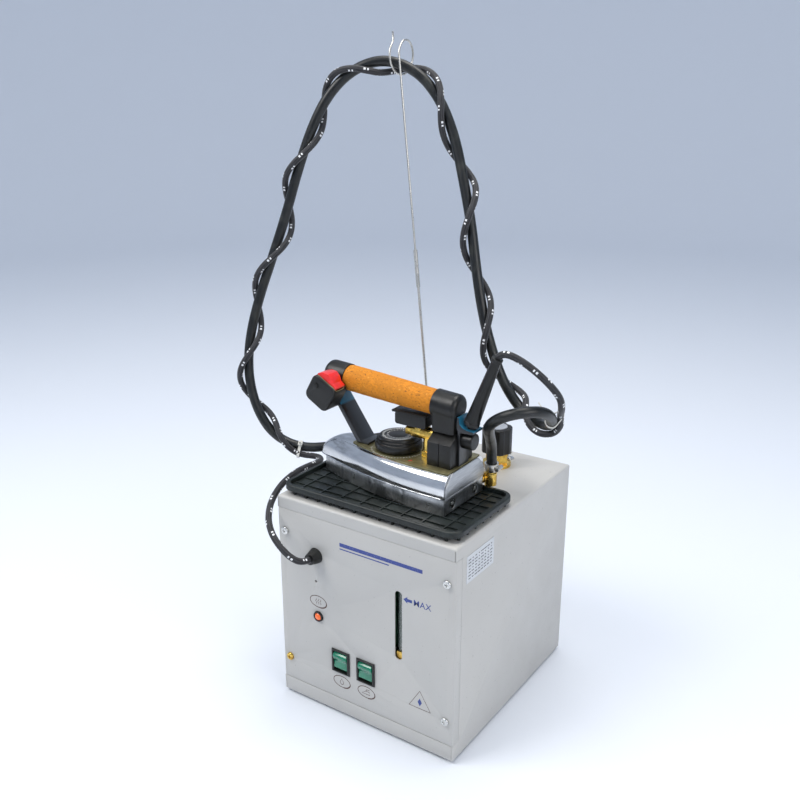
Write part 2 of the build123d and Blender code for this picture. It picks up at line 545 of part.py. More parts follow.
def heel_screws():
    """Socket-head screws sunk in the soleplate's heel."""
    screws = []
    for y in (IRON_Y - 24, IRON_Y + 24):
        screw = rod((HEEL_X - 3.4, y, above(18.5)), (HEEL_X - 0.2, y, above(18.5)), 5.4)
        screw += rod((HEEL_X - 13, y, above(18.5)), (HEEL_X - 3.4, y, above(18.5)), 3.0)
        screws.append(screw - hexagon_bar((HEEL_X - 2.6, y, above(18.5)), (HEEL_X, y, above(18.5)), 5.0))
    return screws


# ---------------------------------------------------------------- iron: controls
def thermostat():
    body = rod((DIAL_X, IRON_Y, above(33)), (DIAL_X, IRON_Y, above(50)), 11.0)
    body += rod((DIAL_X, IRON_Y, above(50)), (DIAL_X, IRON_Y, above(PLATE_HIGH)), 5.6)
    body += rod((DIAL_X, IRON_Y, above(PLATE_HIGH)), (DIAL_X, IRON_Y, above(64)), 3.0)
    dial = rod((DIAL_X, IRON_Y, above(DIAL_LOW)), (DIAL_X, IRON_Y, above(66)), DIAL_R)
    dial += rod((DIAL_X, IRON_Y, above(66)), (DIAL_X, IRON_Y, above(69)), 25.4, 24.2)
    dial += rod((DIAL_X, IRON_Y, above(69)), (DIAL_X, IRON_Y, above(DIAL_HIGH)), 23.0, 22.0)
    dial -= rod((DIAL_X, IRON_Y, above(DIAL_LOW - 1)), (DIAL_X, IRON_Y, above(64.4)), 3.05)
    return body, dial


def grip_height(x):
    """Height of the grip's axis above the cabinet at a value of X."""
    (x0, z0), (x1, z1) = GRIP_FRONT, GRIP_REAR
    return z0 + (z1 - z0) * (x - x0) / (x1 - x0)


def on_grip(x, dy=0.0, dz=0.0):
    return x, IRON_Y + dy, above(grip_height(x) + dz)


def handle_grip():
    front, rear = on_grip(GRIP_FRONT[0]), on_grip(GRIP_REAR[0])
    grip = rod(front, rear, GRIP_R0, GRIP_R1)
    return grip - rod(on_grip(-88), on_grip(55), 4.2)


def handle_core():
    """Tie bolt that clamps the grip between its two end caps."""
    return rod(on_grip(-92), on_grip(58), 4.0)


def front_bracket():
    """Flat strip from the top plate up into the front cap, with a short bolted foot."""
    lean = (-23.9, 34.9)
    foot_x, foot = -56.0, PLATE_HIGH + 0.05
    rise = 56.0
    shift = lean[0] / lean[1] * rise
    outline = [(foot_x, above(foot)), (foot_x + 16, above(foot)), (foot_x + 16, above(foot + 2.5)),
               (foot_x + 5.6, above(foot + 2.5)), (foot_x + 5.6 + shift, above(foot + rise)),
               (foot_x + shift, above(foot + rise))]
    return side_plate(outline, IRON_Y - STRIP_W / 2, IRON_Y + STRIP_W / 2)


def front_cap():
    """End cap of the grip, rounded at the front, with the arm that carries the switch housing."""
    tip = -104.0
    cap = rod(on_grip(GRIP_FRONT[0] - 0.05), on_grip(tip), CAP_R)
    cap = fillet(cap.faces().sort_by(Axis.X)[0].edges(), 7.0)
    cap += block(-98, -84, SWITCH_Y1 + 0.05, IRON_Y - 6, above(112), above(126))
    cap += block(-99, -83, IRON_Y - 13, IRON_Y + 13, above(109), above(118))
    cap -= rod(on_grip(-92.3), on_grip(-70), 4.05)
    return cap - front_bracket()


def steam_switch_frame():
    """Axes of the switch housing: X along its sloping top face, Z out of that face."""
    return Pos(SWITCH_MID[0], (SWITCH_Y0 + SWITCH_Y1) / 2, above(SWITCH_MID[1])) * Rot(0, SWITCH_LEAN, 0)


BUTTON_PIVOT = (-14.0, 13.5)                    # in the housing's axes


def steam_switch():
    """Rounded housing with a well for the button, the button itself and the microswitch."""
    wide = SWITCH_Y1 - SWITCH_Y0
    shell = fillet(Box(SWITCH_LONG, wide, SWITCH_DEEP).edges().filter_by(Axis.Y), 8.0)
    shell = fillet(shell.faces().sort_by(Axis.Y)[0].edges(), 2.5)
    shell -= Pos(0, 0, 11) * Box(SWITCH_LONG - 5.4, 17.6, 14)
    shell -= Pos(BUTTON_PIVOT[0], 0, BUTTON_PIVOT[1]) * Rot(90, 0, 0) * Cylinder(1.55, 20.4)
    shell -= Pos(0, 0, -6.5) * Box(22, 11, 22)
    shell += Pos(-8, -wide / 2 - 0.6, 5) * Rot(90, 0, 0) * Cylinder(3.2, 1.6)
    profile = [(-14.2, 10.5), (-14.2, 18.0), (-9.0, 23.0), (-2.5, 25.4), (3.5, 23.6), (8.0, 19.6), (14.2, 18.6),
               (14.2, 15.6), (0, 12.0)]
    face = make_face(Polyline(*[(x, 0, z) for x, z in profile], close=True))
    button = extrude(face, 8.4, dir=(0, 1, 0), both=True)
    button += Pos(BUTTON_PIVOT[0], 0, BUTTON_PIVOT[1]) * Rot(90, 0, 0) * Cylinder(1.5, 20.0)
    micro = Pos(0, 0, -7.0) * Box(20, 9.6, 14) + Pos(4, 0, 1.4) * Box(3, 3, 3)
    frame = steam_switch_frame()
    return frame * shell, frame * button, frame * micro


def rear_cap():
    """End cap of the grip and the support that stands on the terminal box."""
    cap = rod(on_grip(GRIP_REAR[0] + 0.05), on_grip(74), CAP_R)
    cap = fillet(cap.faces().sort_by(Axis.X)[-1].edges(), 6.0)
    body = block(44, 72, IRON_Y - 14, IRON_Y + 14, above(BOX_HIGH + 0.05), above(118))
    cap += fillet(body.edges().filter_by(Axis.Z), 4.0)
    cap -= block(73.3, 80, IRON_Y - 20, IRON_Y + 20, above(60), above(112))
    return cap - rod(on_grip(40), on_grip(58.3), 4.05)


def rear_bracket():
    """Strip up the back of the terminal box, curved out to the tab that holds the cable boot."""
    low, width = above(PLATE_HIGH + 0.05), 20.0
    outline = [(75.9, low), (78.4, low), (78.4, above(94.5)), (94.6, above(96.1)), (94.6, above(98.6)),
               (86.5, above(99.2)), (81.0, above(101)), (77.4, above(104.5)), (76.6, above(111.6)),
               (74.4, above(111.6)), (73.6, above(100)), (75.9, above(96))]
    plate = side_plate(outline, IRON_Y - width / 2, IRON_Y + width / 2)
    return plate - rod((87.5, IRON_Y, above(90)), (87.5, IRON_Y, above(103.4)), 4.6)


def terminal_box():
    box = block(BOX_X0, BOX_X1, BOX_Y0, BOX_Y1, above(PLATE_HIGH + 0.05), above(BOX_HIGH))
    box = chamfer(box.faces().sort_by(Axis.Z)[-1].edges(), 3.0)
    slope = make_face(Polyline((0, BOX_Y0 - 1, above(BOX_EDGE)), (0, BOX_Y0, above(BOX_EDGE)),
                               (0, BOX_Y0 + BOX_SLOPE, above(BOX_HIGH)), (0, BOX_Y0 + BOX_SLOPE, above(BOX_HIGH + 1)),
                               (0, BOX_Y0 - 1, above(BOX_HIGH + 1)), close=True))
    box -= Pos(BOX_X0 - 1, 0, 0) * extrude(slope, BOX_X1 - BOX_X0 + 2, dir=(1, 0, 0))
    middle = (BOX_X0 + BOX_X1) / 2
    box -= block(middle - 0.4, middle + 0.4, BOX_Y0 - 1, BOX_Y1 + 1, above(BOX_HIGH - 1.2), above(BOX_HIGH + 1))
    for y in (BOX_Y0, BOX_Y1):
        box -= block(middle - 0.4, middle + 0.4, y - 1, y + 1, above(50), above(BOX_HIGH))
    return box


def cable_clamp():
    """Round gland nut on the back of the terminal box, under the boot."""
    clamp = rod((78.5, IRON_Y, above(84)), (92, IRON_Y, above(84)), 9.4)
    clamp = fillet(clamp.faces().sort_by(Axis.X)[-1].edges(), 1.5)
    return clamp + rod((87.5, IRON_Y, above(84)), (87.5, IRON_Y, above(100.5)), 4.4)


def cable_boot():
    low, high = BOOT_LOW, BOOT_HIGH
    boot = rod((low[0], IRON_Y, above(low[1])), (high[0], IRON_Y, above(high[1])), 8.4, 5.2)
    step = ((high[0] - low[0]) / 20, (high[1] - low[1]) / 20)
    boot += rod((high[0], IRON_Y, above(high[1])), (high[0] + step[0], IRON_Y, above(high[1] + step[1])), 6.2)
    return boot + rod((low[0], IRON_Y, above(low[1])), (low[0] + step[0], IRON_Y, above(low[1] + step[1])), 8.8)


def solenoid():
    y = IRON_Y
    coil = block(-4, 36, y - 12, y + 12, above(90), above(104))
    coil = fillet(coil.edges().filter_by(Axis.Y), 3.0)
    coil += block(-9, 36, y - 11, y + 11, above(102.6), above(104.8))
    valve = rod((13, y, above(81.5)), (41, y, above(81.5)), 7.2)
    valve += rod((33, y, above(PLATE_HIGH + 0.05)), (33, y, above(80)), 6.0)
    valve += hexagon_bar((33, y, above(PLATE_HIGH + 0.05)), (33, y, above(62)), 15.0)
    valve += rod((22, y, above(80)), (22, y, above(89.95)), 6.5)
    valve += hexagon_bar((6, y, above(81.5)), (13, y, above(81.5)), 12.0)
    return coil, valve


def hose_elbow():
    """Brass elbow screwed into the soleplate's side, with the barb that the hose is pushed on."""
    x, y, z = ELBOW_X, ELBOW_Y, above(20)
    elbow = rod((74, y - 26, z), (74, y - 10, z), 3.9) + rod((74, y - 10, z), (74, y - 1, z), 5.4)
    elbow += rod((x, y, above(11)), (x, y, above(26)), 7.0) + rod((72.5, y, z), (x, y, z), 5.4)
    return elbow + rod((x, y, above(26)), (x, y, HOSE_ROUTE[-1][2] - 1.0), 5.4)


def hose_clamp():
    """Worm-drive band round the hose's end."""
    end, before = Vector(*HOSE_ROUTE[-1]), Vector(*HOSE_ROUTE[-2])
    along = (before - end).normalized()
    low, high = end + along, end + along * 10
    band = rod(low.to_tuple(), high.to_tuple(), 8.2) - rod(end.to_tuple(), before.to_tuple(), 6.25)
    screw = rod((end.X + 9.4, end.Y - 6, end.Z + 5), (end.X + 9.4, end.Y + 6, end.Z + 5), 2.6)
    return band + screw


# ---------------------------------------------------------------- hose and cable
def beside(hose, share):
    """Centre of the cable beside the hose, at a share of the hose's length."""
    part = (share - TWIST_FROM) / (TWIST_TO - TWIST_FROM)
    angle = TWIST_PHASE + 2 * pi * TWIST_TURNS * part
    radius = TWIST_R + SLACK * sin(pi * SLACK_WAVES * part) ** 2
    across, along = Vector(*SIDE_ON), (hose % share).normalized()
    side = (across - along * across.dot(along)).normalized()
    other = along.cross(side)
    return hose @ share + side * (radius * cos(angle)) + other * (radius * sin(angle))


def twist(hose):
    """Corner points of the cable's turns round the hose."""
    count = round(TWIST_TURNS * POINTS_PER_TURN)
    points = []
    for step in range(count + 1):
        spot = beside(hose, TWIST_FROM + (TWIST_TO - TWIST_FROM) * step / count)
        points.append((spot.X, spot.Y, spot.Z))
    return points


def zip_ties(hose):
    """One band round hose and cable at each end of the twist."""
    ties = []
    for share in (TWIST_FROM, TWIST_TO):
        centre, mate = hose @ share, beside(hose, share)
        middle = centre + (mate - centre) * 0.47
        plane = Plane(origin=middle - (hose % share) * 2, x_dir=mate - centre, z_dir=hose % share)
        band = SlotOverall(TWIST_R + HOSE_D + 5, HOSE_D + 4.4) - SlotOverall(TWIST_R + HOSE_D + 2, HOSE_D + 1.4)
        ties.append(plane * (extrude(band, 4) + Pos(0, HOSE_D / 2 + 3.4, 2) * Box(6, 4, 5)))
    return ties


def main():
    write("cover_shell", cover_shell())
    write("base_pan", base_pan())
    write("front_panel", front_panel())
    write("rear_panel", rear_panel())
    write("corner_posts", *corner_posts())
    steel = [pan_screw(x, z, -1) for x, z in PANEL_SCREWS[1:]] + [pan_screw(x, z, 1) for x, z in PANEL_SCREWS]
    write("panel_screws", *steel)
    write("brass_panel_screw", pan_screw(*PANEL_SCREWS[0], -1))
    write("rubber_feet", *rubber_feet())
    for side, (x, z) in SWITCHES.items():
        write(f"{side}_switch_housing", switch_housing(x, z))
        write(f"{side}_switch_rocker", switch_rocker(x, z))
    bezel, lens = pilot_lamp()
    write("pilot_lamp_bezel", bezel)
    write("pilot_lamp_lens", lens)
    write("cable_gland", cable_gland())
    glass, unions, backing = level_gauge()
    write("gauge_glass", glass)
    write("gauge_unions", *unions)
    write("gauge_backing", backing)
    write("rating_plate", rating_plate())

    write("boiler_tank", boiler_tank())
    write("heating_element", heating_element())
    write("pressure_switch", pressure_switch())
    write("filler_neck", filler_neck())
    knob, disc, plug = filler_cap()
    write("filler_cap_knob", knob)
    write("filler_cap_disc", disc)
    write("filler_cap_plug", plug)
    write("steam_outlet", steam_outlet())
    write("eye_screw", eye_screw())
    body, lever = drain_valve()
    write("drain_valve_body", body)
    write("drain_valve_lever", lever)
    write("mains_inlet", mains_inlet())
    write("antenna_socket", antenna_socket())
    write("antenna_rod", antenna_rod())
    write("iron_rest", iron_rest())

    write("soleplate", soleplate())
    write("iron_cover", iron_cover())
    write("top_plate", top_plate())
    write("heel_plate", heel_plate())
    write("heel_screws", *heel_screws())
    body, dial = thermostat()
    write("thermostat_body", body)
    write("thermostat_dial", dial)
    write("handle_grip", handle_grip())
    write("handle_core", handle_core())
    write("front_bracket", front_bracket())
    write("front_handle_cap", front_cap())
    shell, button, micro = steam_switch()
    write("switch_housing", shell)
    write("steam_button", button)
    write("microswitch", micro)
    write("rear_handle_cap", rear_cap())
    write("rear_bracket", rear_bracket())
    write("terminal_box", terminal_box())
    write("cable_clamp", cable_clamp())
    write("cable_boot", cable_boot())
    coil, valve = solenoid()
    write("solenoid_coil", coil)
    write("solenoid_valve", valve)
    write("hose_elbow", hose_elbow())
    write("hose_clamp", hose_clamp())

    hose = bend_path(HOSE_ROUTE, "hose")
    write("steam_hose", tube(hose, HOSE_D))
    print("hose length", round(hose.length))
    cable = bend_path(CABLE_START + twist(hose) + CABLE_END, "cable")
    write("iron_cable", tube(cable, CABLE_D))
    print("cable length", round(cable.length))
    write("zip_ties", *zip_ties(hose))


main()
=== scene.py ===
"""Looks of a table-top steam generator and its iron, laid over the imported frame.

Laid out as an add-on: settings, one operator for each piece or group of like pieces, and a panel.
Every length is in metres, in the frame's own axes: +Z up, front panel towards -Y.
"""

import json
import math

import bmesh
import bpy
import numpy as np
from mathutils import Matrix, Vector

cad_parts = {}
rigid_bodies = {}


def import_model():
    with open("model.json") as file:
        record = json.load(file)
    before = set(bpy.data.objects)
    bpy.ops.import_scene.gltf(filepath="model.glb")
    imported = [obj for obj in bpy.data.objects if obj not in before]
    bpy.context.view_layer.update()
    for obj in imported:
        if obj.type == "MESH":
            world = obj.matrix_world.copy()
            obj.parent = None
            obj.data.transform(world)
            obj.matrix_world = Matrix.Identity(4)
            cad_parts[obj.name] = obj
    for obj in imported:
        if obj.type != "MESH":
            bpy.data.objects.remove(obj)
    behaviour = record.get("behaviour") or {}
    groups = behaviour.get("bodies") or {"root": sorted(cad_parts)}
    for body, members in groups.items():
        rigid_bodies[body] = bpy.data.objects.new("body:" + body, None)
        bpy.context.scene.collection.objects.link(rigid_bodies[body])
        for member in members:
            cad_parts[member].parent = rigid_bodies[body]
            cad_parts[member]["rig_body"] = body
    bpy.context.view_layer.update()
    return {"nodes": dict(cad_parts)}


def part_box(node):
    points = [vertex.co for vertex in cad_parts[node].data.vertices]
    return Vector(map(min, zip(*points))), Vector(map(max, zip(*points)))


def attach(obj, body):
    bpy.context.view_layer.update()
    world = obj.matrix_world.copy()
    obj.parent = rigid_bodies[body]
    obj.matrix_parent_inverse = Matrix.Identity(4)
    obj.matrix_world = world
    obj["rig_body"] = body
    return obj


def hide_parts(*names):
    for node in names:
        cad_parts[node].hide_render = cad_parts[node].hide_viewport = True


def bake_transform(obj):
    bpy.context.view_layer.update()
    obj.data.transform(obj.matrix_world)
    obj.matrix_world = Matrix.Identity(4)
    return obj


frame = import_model()
NODES = frame["nodes"]

bl_info = {
    "name": "Steam Generator Iron",
    "version": (1, 0, 0),
    "blender": (4, 5, 0),
    "location": "View3D > Sidebar > Steam Iron",
    "description": "Cabinet, iron, hose and cable of a table-top steam generator",
    "category": "Object",
}

MM = 0.001


# ---------------------------------------------------------------- places taken from the frame
def centre(node):
    low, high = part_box(node)
    return (low + high) / 2


PANEL_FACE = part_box("front_panel")[0].y
CABINET_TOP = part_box("cover_shell")[1].z
COVER_LOW, COVER_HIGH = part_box("iron_cover")
IRON_Y = (COVER_LOW.y + COVER_HIGH.y) / 2
HALF_IRON = (COVER_HIGH.y - COVER_LOW.y) / 2
HEEL_X = COVER_HIGH.x
NOSE_X = COVER_LOW.x
WIDEST_X = HEEL_X - 21.5 * MM
PLATE_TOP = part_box("top_plate")[1].z

# ---------------------------------------------------------------- routes, as the hose and cable lie
HOSE_ROUTE = [
    (-80, 43, 289), (-113, 22, 284), (-147, -3, 274), (-181, -24, 272), (-213, -37, 287),
    (-237, -40, 319), (-251, -37, 362), (-253, -28, 409), (-246, -14, 459), (-234, 1, 509),
    (-220, 13, 560), (-207, 22, 612), (-191, 32, 663), (-173, 44, 702), (-148, 60, 729),
    (-116, 79, 740), (-79, 91, 726), (-50, 95, 695), (-27, 91, 653), (-10, 83, 607),
    (7, 74, 559), (20, 65, 509), (34, 59, 458), (48, 59, 415), (66, 59, 377),
    (94, 55, 350), (127, 39, 347), (148, 14, 360), (159, -10, 377), (162, -36, 392),
    (150, -58, 396), (129, -67, 389), (110, -58, 374), (98, -36, 356), (88.5, -13, 337),
    (81.5, 3.5, 319), (81, 5, 293),
]
CABLE_START = [
    (-65.6, -148.7, 202.4), (-66, -160, 204), (-73, -169, 211), (-87, -171, 221),
    (-104, -166, 231), (-120, -154, 241), (-131, -136, 253), (-136, -112, 264),
    (-138, -86, 269), (-137, -61, 270), (-138, -40, 267), (-144, -25, 265), (-156, -18, 264),
]
CABLE_END = [
    (172, -15, 391), (175, -26, 406), (169, -37, 421), (157, -45, 435), (142, -50, 446),
    (128, -53, 452), (119, -54, 451), (115.8, -54, 447.3),
]
TWIST_FROM, TWIST_TO = 0.083, 0.843
TWIST_TURNS, TWIST_PHASE = 8.46, math.radians(-20)
POINTS_PER_TURN = 8
SIDE_ON = Vector((0.2, -0.9, -0.35))
SLACK, SLACK_WAVES = 1.6 * MM, 5


# ---------------------------------------------------------------- settings
class CabinetSettings(bpy.types.PropertyGroup):
    paint: bpy.props.FloatVectorProperty(
        name="Paint", description="Powder coat of the cabinet", subtype="COLOR", size=3,
        default=(0.50, 0.49, 0.465))
    rocker: bpy.props.FloatVectorProperty(
        name="Rocker", description="Green of the two rocker switches", subtype="COLOR", size=3,
        default=(0.0, 0.16, 0.085))
    ink: bpy.props.FloatVectorProperty(
        name="Ink", description="Blue ink of the panel's prints", subtype="COLOR", size=3,
        default=(0.03, 0.055, 0.25))
    edge_round: bpy.props.FloatProperty(
        name="Edge round", description="Radius of moulded edges", subtype="DISTANCE", default=0.6 * MM)


class IronSettings(bpy.types.PropertyGroup):
    cork: bpy.props.FloatVectorProperty(
        name="Cork", description="Main colour of the grip", subtype="COLOR", size=3,
        default=(0.62, 0.22, 0.012))
    button: bpy.props.FloatVectorProperty(
        name="Button", description="Red of the steam button", subtype="COLOR", size=3,
        default=(0.72, 0.012, 0.01))
    bracket: bpy.props.FloatVectorProperty(
        name="Bracket", description="Enamel of the handle's brackets", subtype="COLOR", size=3,
        default=(0.012, 0.10, 0.17))
    dial_marks: bpy.props.IntProperty(
        name="Dial marks", description="Marks round the thermostat's dial", default=44, min=4)


class CordSettings(bpy.types.PropertyGroup):
    hose_width: bpy.props.FloatProperty(
        name="Hose", description="Diameter of the steam hose", subtype="DISTANCE", default=12 * MM)
    cable_width: bpy.props.FloatProperty(
        name="Cable", description="Diameter of the braided cable", subtype="DISTANCE", default=7.6 * MM)
    twist_radius: bpy.props.FloatProperty(
        name="Twist radius", description="From the hose's middle to the cable's control points",
        subtype="DISTANCE", default=11.7 * MM)
    fleck_pitch: bpy.props.FloatProperty(
        name="Fleck pitch", description="Distance between two pairs of white flecks",
        subtype="DISTANCE", default=17 * MM)


class StageSettings(bpy.types.PropertyGroup):
    floor: bpy.props.FloatVectorProperty(
        name="Floor", description="Colour of the floor", subtype="COLOR", size=3, default=(0.80, 0.83, 0.88))
    lens: bpy.props.FloatProperty(
        name="Lens", description="Focal length on a 36 mm sensor", subtype="DISTANCE_CAMERA", default=42.05)


# ---------------------------------------------------------------- materials
class Finish:
    """One node-based material, built up a step at a time."""

    def __init__(self, name, color, roughness, metallic=0.0, **sockets):
        self.material = bpy.data.materials.new(name)
        self.material.use_nodes = True
        self.tree = self.material.node_tree
        self.shader = self.tree.nodes["Principled BSDF"]
        self.shader.inputs["Base Color"].default_value = (*color, 1.0)
        self.shader.inputs["Roughness"].default_value = roughness
        self.shader.inputs["Metallic"].default_value = metallic
        for socket, value in sockets.items():
            self.shader.inputs[socket.replace("_", " ")].default_value = value

    def node(self, kind, inputs=None, **settings):
        node = self.tree.nodes.new(kind)
        for key, value in settings.items():
            setattr(node, key, value)
        for key, value in (inputs or {}).items():
            if isinstance(value, bpy.types.NodeSocket):
                self.tree.links.new(value, node.inputs[key])
            else:
                node.inputs[key].default_value = value
        return node

    def place(self, scale=(1, 1, 1), turn=(0, 0, 0), source="Object"):
        coords = self.node("ShaderNodeTexCoord").outputs[source]
        mapping = self.node("ShaderNodeMapping", {"Vector": coords, "Scale": scale, "Rotation": turn})
        return mapping.outputs["Vector"]

    def noise(self, scale, detail=3.0, place=None, grain=0.5):
        inputs = {"Vector": place or self.place(), "Scale": scale, "Detail": detail, "Roughness": grain}
        return self.node("ShaderNodeTexNoise", inputs).outputs["Fac"]

    def math(self, operation, first, second=0.0):
        return self.node("ShaderNodeMath", {0: first, 1: second}, operation=operation).outputs[0]

    def between(self, value, low, high, to_low=0.0, to_high=1.0):
        inputs = {"Value": value, "From Min": low, "From Max": high, "To Min": to_low, "To Max": to_high}
        return self.node("ShaderNodeMapRange", inputs).outputs["Result"]

    def mix(self, factor, first, second, blend="MIX"):
        node = self.node("ShaderNodeMix", data_type="RGBA", blend_type=blend)
        for index, value in ((0, factor), (6, first), (7, second)):
            if isinstance(value, bpy.types.NodeSocket):
                self.tree.links.new(value, node.inputs[index])
            else:
                node.inputs[index].default_value = (*value, 1.0) if isinstance(value, tuple) else value
        return node.outputs[2]

    def bump(self, height, distance, strength=1.0):
        normal = self.shader.inputs["Normal"]
        inputs = {"Height": height, "Distance": distance, "Strength": strength}
        if normal.is_linked:
            inputs["Normal"] = normal.links[0].from_socket
        self.feed("Normal", self.node("ShaderNodeBump", inputs).outputs["Normal"])

    def feed(self, socket, value):
        self.tree.links.new(value, self.shader.inputs[socket])


def shade(color, amount):
    return tuple(min(1.0, part * amount) for part in color)


def cabinet_paint(color):
    """Warm grey powder coat: fine orange peel, faint patches and a little dust in fine dark specks."""
    paint = Finish("cabinet_paint", color, 0.42, Specular_IOR_Level=0.45)
    patches = paint.between(paint.noise(7.0, 4.0), 0.3, 0.7)
    body = paint.mix(patches, shade(color, 0.96), shade(color, 1.03))
    specks = paint.between(paint.noise(420.0, 1.0), 0.28, 0.22)
    paint.feed("Base Color", paint.mix(specks, body, shade(color, 0.72)))
    paint.feed("Roughness", paint.between(paint.noise(35.0, 5.0), 0.3, 0.7, 0.36, 0.5))
    paint.bump(paint.noise(750.0, 2.0), 0.05 * MM, 0.5)
    return paint.material


def black_plastic(name="plastic_black", color=(0.006, 0.006, 0.0055), rough=0.36):
    """Satin black moulding with a spark-eroded grain and greasy patches."""
    plastic = Finish(name, color, rough, Specular_IOR_Level=0.4)
    smear = plastic.noise(60.0, 5.0)
    plastic.feed("Base Color", plastic.mix(plastic.between(smear, 0.35, 0.75), color, shade(color, 2.1)))
    plastic.feed("Roughness", plastic.between(smear, 0.3, 0.7, rough - 0.08, rough + 0.12))
    plastic.bump(plastic.noise(1900.0, 2.0), 0.04 * MM, 0.6)
    return plastic.material


def rest_rubber():
    """Greenish black rubber with pale dust and rubbed patches."""
    rubber = Finish("rubber_black", (0.016, 0.023, 0.021), 0.5, Specular_IOR_Level=0.5)
    dust = rubber.between(rubber.noise(26.0, 7.0, grain=0.65), 0.48, 0.78)
    rubber.feed("Base Color", rubber.mix(dust, (0.003, 0.006, 0.005), (0.022, 0.031, 0.028)))
    rubber.feed("Roughness", rubber.between(dust, 0.0, 1.0, 0.42, 0.75))
    rubber.bump(rubber.noise(600.0, 4.0), 0.12 * MM, 0.6)
    return rubber.material


def brass():
    metal = Finish("brass", (0.78, 0.53, 0.12), 0.27, 1.0)
    tarnish = metal.between(metal.noise(140.0, 5.0), 0.42, 0.72)
    metal.feed("Base Color", metal.mix(tarnish, (0.82, 0.56, 0.13), (0.45, 0.26, 0.06)))
    metal.feed("Roughness", metal.between(tarnish, 0.0, 1.0, 0.2, 0.46))
    metal.bump(metal.noise(900.0, 2.0, metal.place(scale=(1, 1, 8))), 0.03 * MM, 0.5)
    return metal.material


def steel(name, color=(0.66, 0.66, 0.64), rough=0.26, run=(1, 1, 14)):
    """Bright steel with fine drawn lines along one axis."""
    metal = Finish(name, color, rough, 1.0)
    lines = metal.noise(260.0, 4.0, metal.place(scale=run))
    metal.feed("Base Color", metal.mix(metal.between(lines, 0.3, 0.7), shade(color, 0.8), shade(color, 1.12)))
    metal.feed("Roughness", metal.between(metal.noise(90.0, 3.0), 0.3, 0.7, rough - 0.08, rough + 0.12))
    metal.bump(lines, 0.03 * MM, 0.4)
    return metal.material


def polished_aluminium():
    """Buffed casting: near mirror, with soft grey drag marks and painted dark reflections in streaks towards
    the nose.
    """
    metal = Finish("polished_aluminium", (0.79, 0.80, 0.81), 0.14, 1.0)
    drag = metal.noise(34.0, 6.0, metal.place(scale=(0.55, 1.2, 2.4), turn=(0, 0.5, 0.25)), 0.6)
    position = metal.node("ShaderNodeSeparateXYZ", {"Vector": metal.place()}).outputs["X"]
    nose = metal.between(position, -0.02, -0.12)
    # painted reflection: near-black streaks towards the nose stand in for dark reflections in the polish
    dark_reflection_mask = metal.math("MULTIPLY", metal.between(drag, 0.50, 0.60), nose)
    body = metal.mix(metal.between(drag, 0.35, 0.65), (0.55, 0.56, 0.57), (0.76, 0.765, 0.77))
    metal.feed("Base Color", metal.mix(metal.math("MULTIPLY", dark_reflection_mask, 0.9), body, (0.08, 0.085, 0.09)))
    metal.feed("Roughness", metal.between(metal.noise(55.0, 6.0), 0.3, 0.75, 0.06, 0.2))
    metal.bump(metal.noise(420.0, 3.0, metal.place(scale=(0.3, 1, 1))), 0.02 * MM, 0.35)
    return metal.material


def satin_aluminium():
    """Ground flat face of the heel and the plate under the dial."""
    metal = Finish("satin_aluminium", (0.52, 0.53, 0.54), 0.38, 1.0)
    lines = metal.noise(180.0, 5.0, metal.place(scale=(1, 0.35, 6)))
    streaks = metal.between(lines, 0.3, 0.7)
    metal.feed("Base Color", metal.mix(streaks, (0.42, 0.43, 0.44), (0.60, 0.61, 0.62)))
    metal.feed("Roughness", metal.between(metal.noise(50.0, 5.0), 0.3, 0.7, 0.3, 0.48))
    metal.bump(lines, 0.03 * MM, 0.5)
    return metal.material


def plate_brass():
    """Olive lacquer over brass, rubbed bright in places."""
    metal = Finish("plate_brass", (0.34, 0.30, 0.15), 0.4, 0.85)
    rubbed = metal.between(metal.noise(60.0, 6.0), 0.45, 0.7)
    metal.feed("Base Color", metal.mix(rubbed, (0.24, 0.215, 0.11), (0.46, 0.40, 0.20)))
    metal.feed("Roughness", metal.between(rubbed, 0.0, 1.0, 0.45, 0.3))
    metal.bump(metal.noise(400.0, 3.0), 0.03 * MM, 0.4)
    return metal.material


def sole_casting():
    """Used soleplate: grey casting with scale stains and handling marks."""
    metal = Finish("sole_aluminium", (0.5, 0.5, 0.49), 0.33, 1.0)
    stains = metal.noise(22.0, 8.0, metal.place(scale=(1, 1, 0.4)), 0.68)
    body = metal.mix(metal.between(stains, 0.38, 0.52), (0.17, 0.175, 0.17), (0.58, 0.585, 0.58))
    pale = metal.between(metal.noise(70.0, 7.0), 0.58, 0.70)
    metal.feed("Base Color", metal.mix(pale, body, (0.78, 0.78, 0.76)))
    metal.feed("Roughness", metal.between(stains, 0.3, 0.7, 0.42, 0.24))
    metal.bump(metal.noise(300.0, 6.0), 0.06 * MM, 0.5)
    return metal.material


def pressed_cork(color):
    """Pressed cork: fine granules of slightly different tans, with scattered dark flecks."""
    cork = Finish("cork", color, 0.72, Specular_IOR_Level=0.35)
    stretch = cork.place(scale=(0.7, 1, 1))
    granules = cork.node("ShaderNodeTexVoronoi", {"Vector": stretch, "Scale": 620.0})
    tone = cork.node("ShaderNodeSeparateColor", {"Color": granules.outputs["Color"]}).outputs[0]
    body = cork.mix(tone, shade(color, 0.80), shade(color, 1.18))
    cloud = cork.between(cork.noise(45.0, 4.0), 0.35, 0.7)
    body = cork.mix(cloud, body, shade(color, 0.84))
    flecks = cork.between(cork.noise(480.0, 2.0, stretch), 0.35, 0.30)
    body = cork.mix(cork.math("MULTIPLY", flecks, 0.85), body, (0.14, 0.055, 0.012))
    pale = cork.between(cork.noise(330.0, 2.0, cork.place(scale=(1, 0.8, 1))), 0.66, 0.72)
    cork.feed("Base Color", cork.mix(cork.math("MULTIPLY", pale, 0.5), body, (0.80, 0.40, 0.07)))
    cork.bump(granules.outputs["Distance"], 0.15 * MM, 0.5)
    cork.bump(cork.noise(200.0, 5.0), 0.12 * MM, 0.5)
    return cork.material


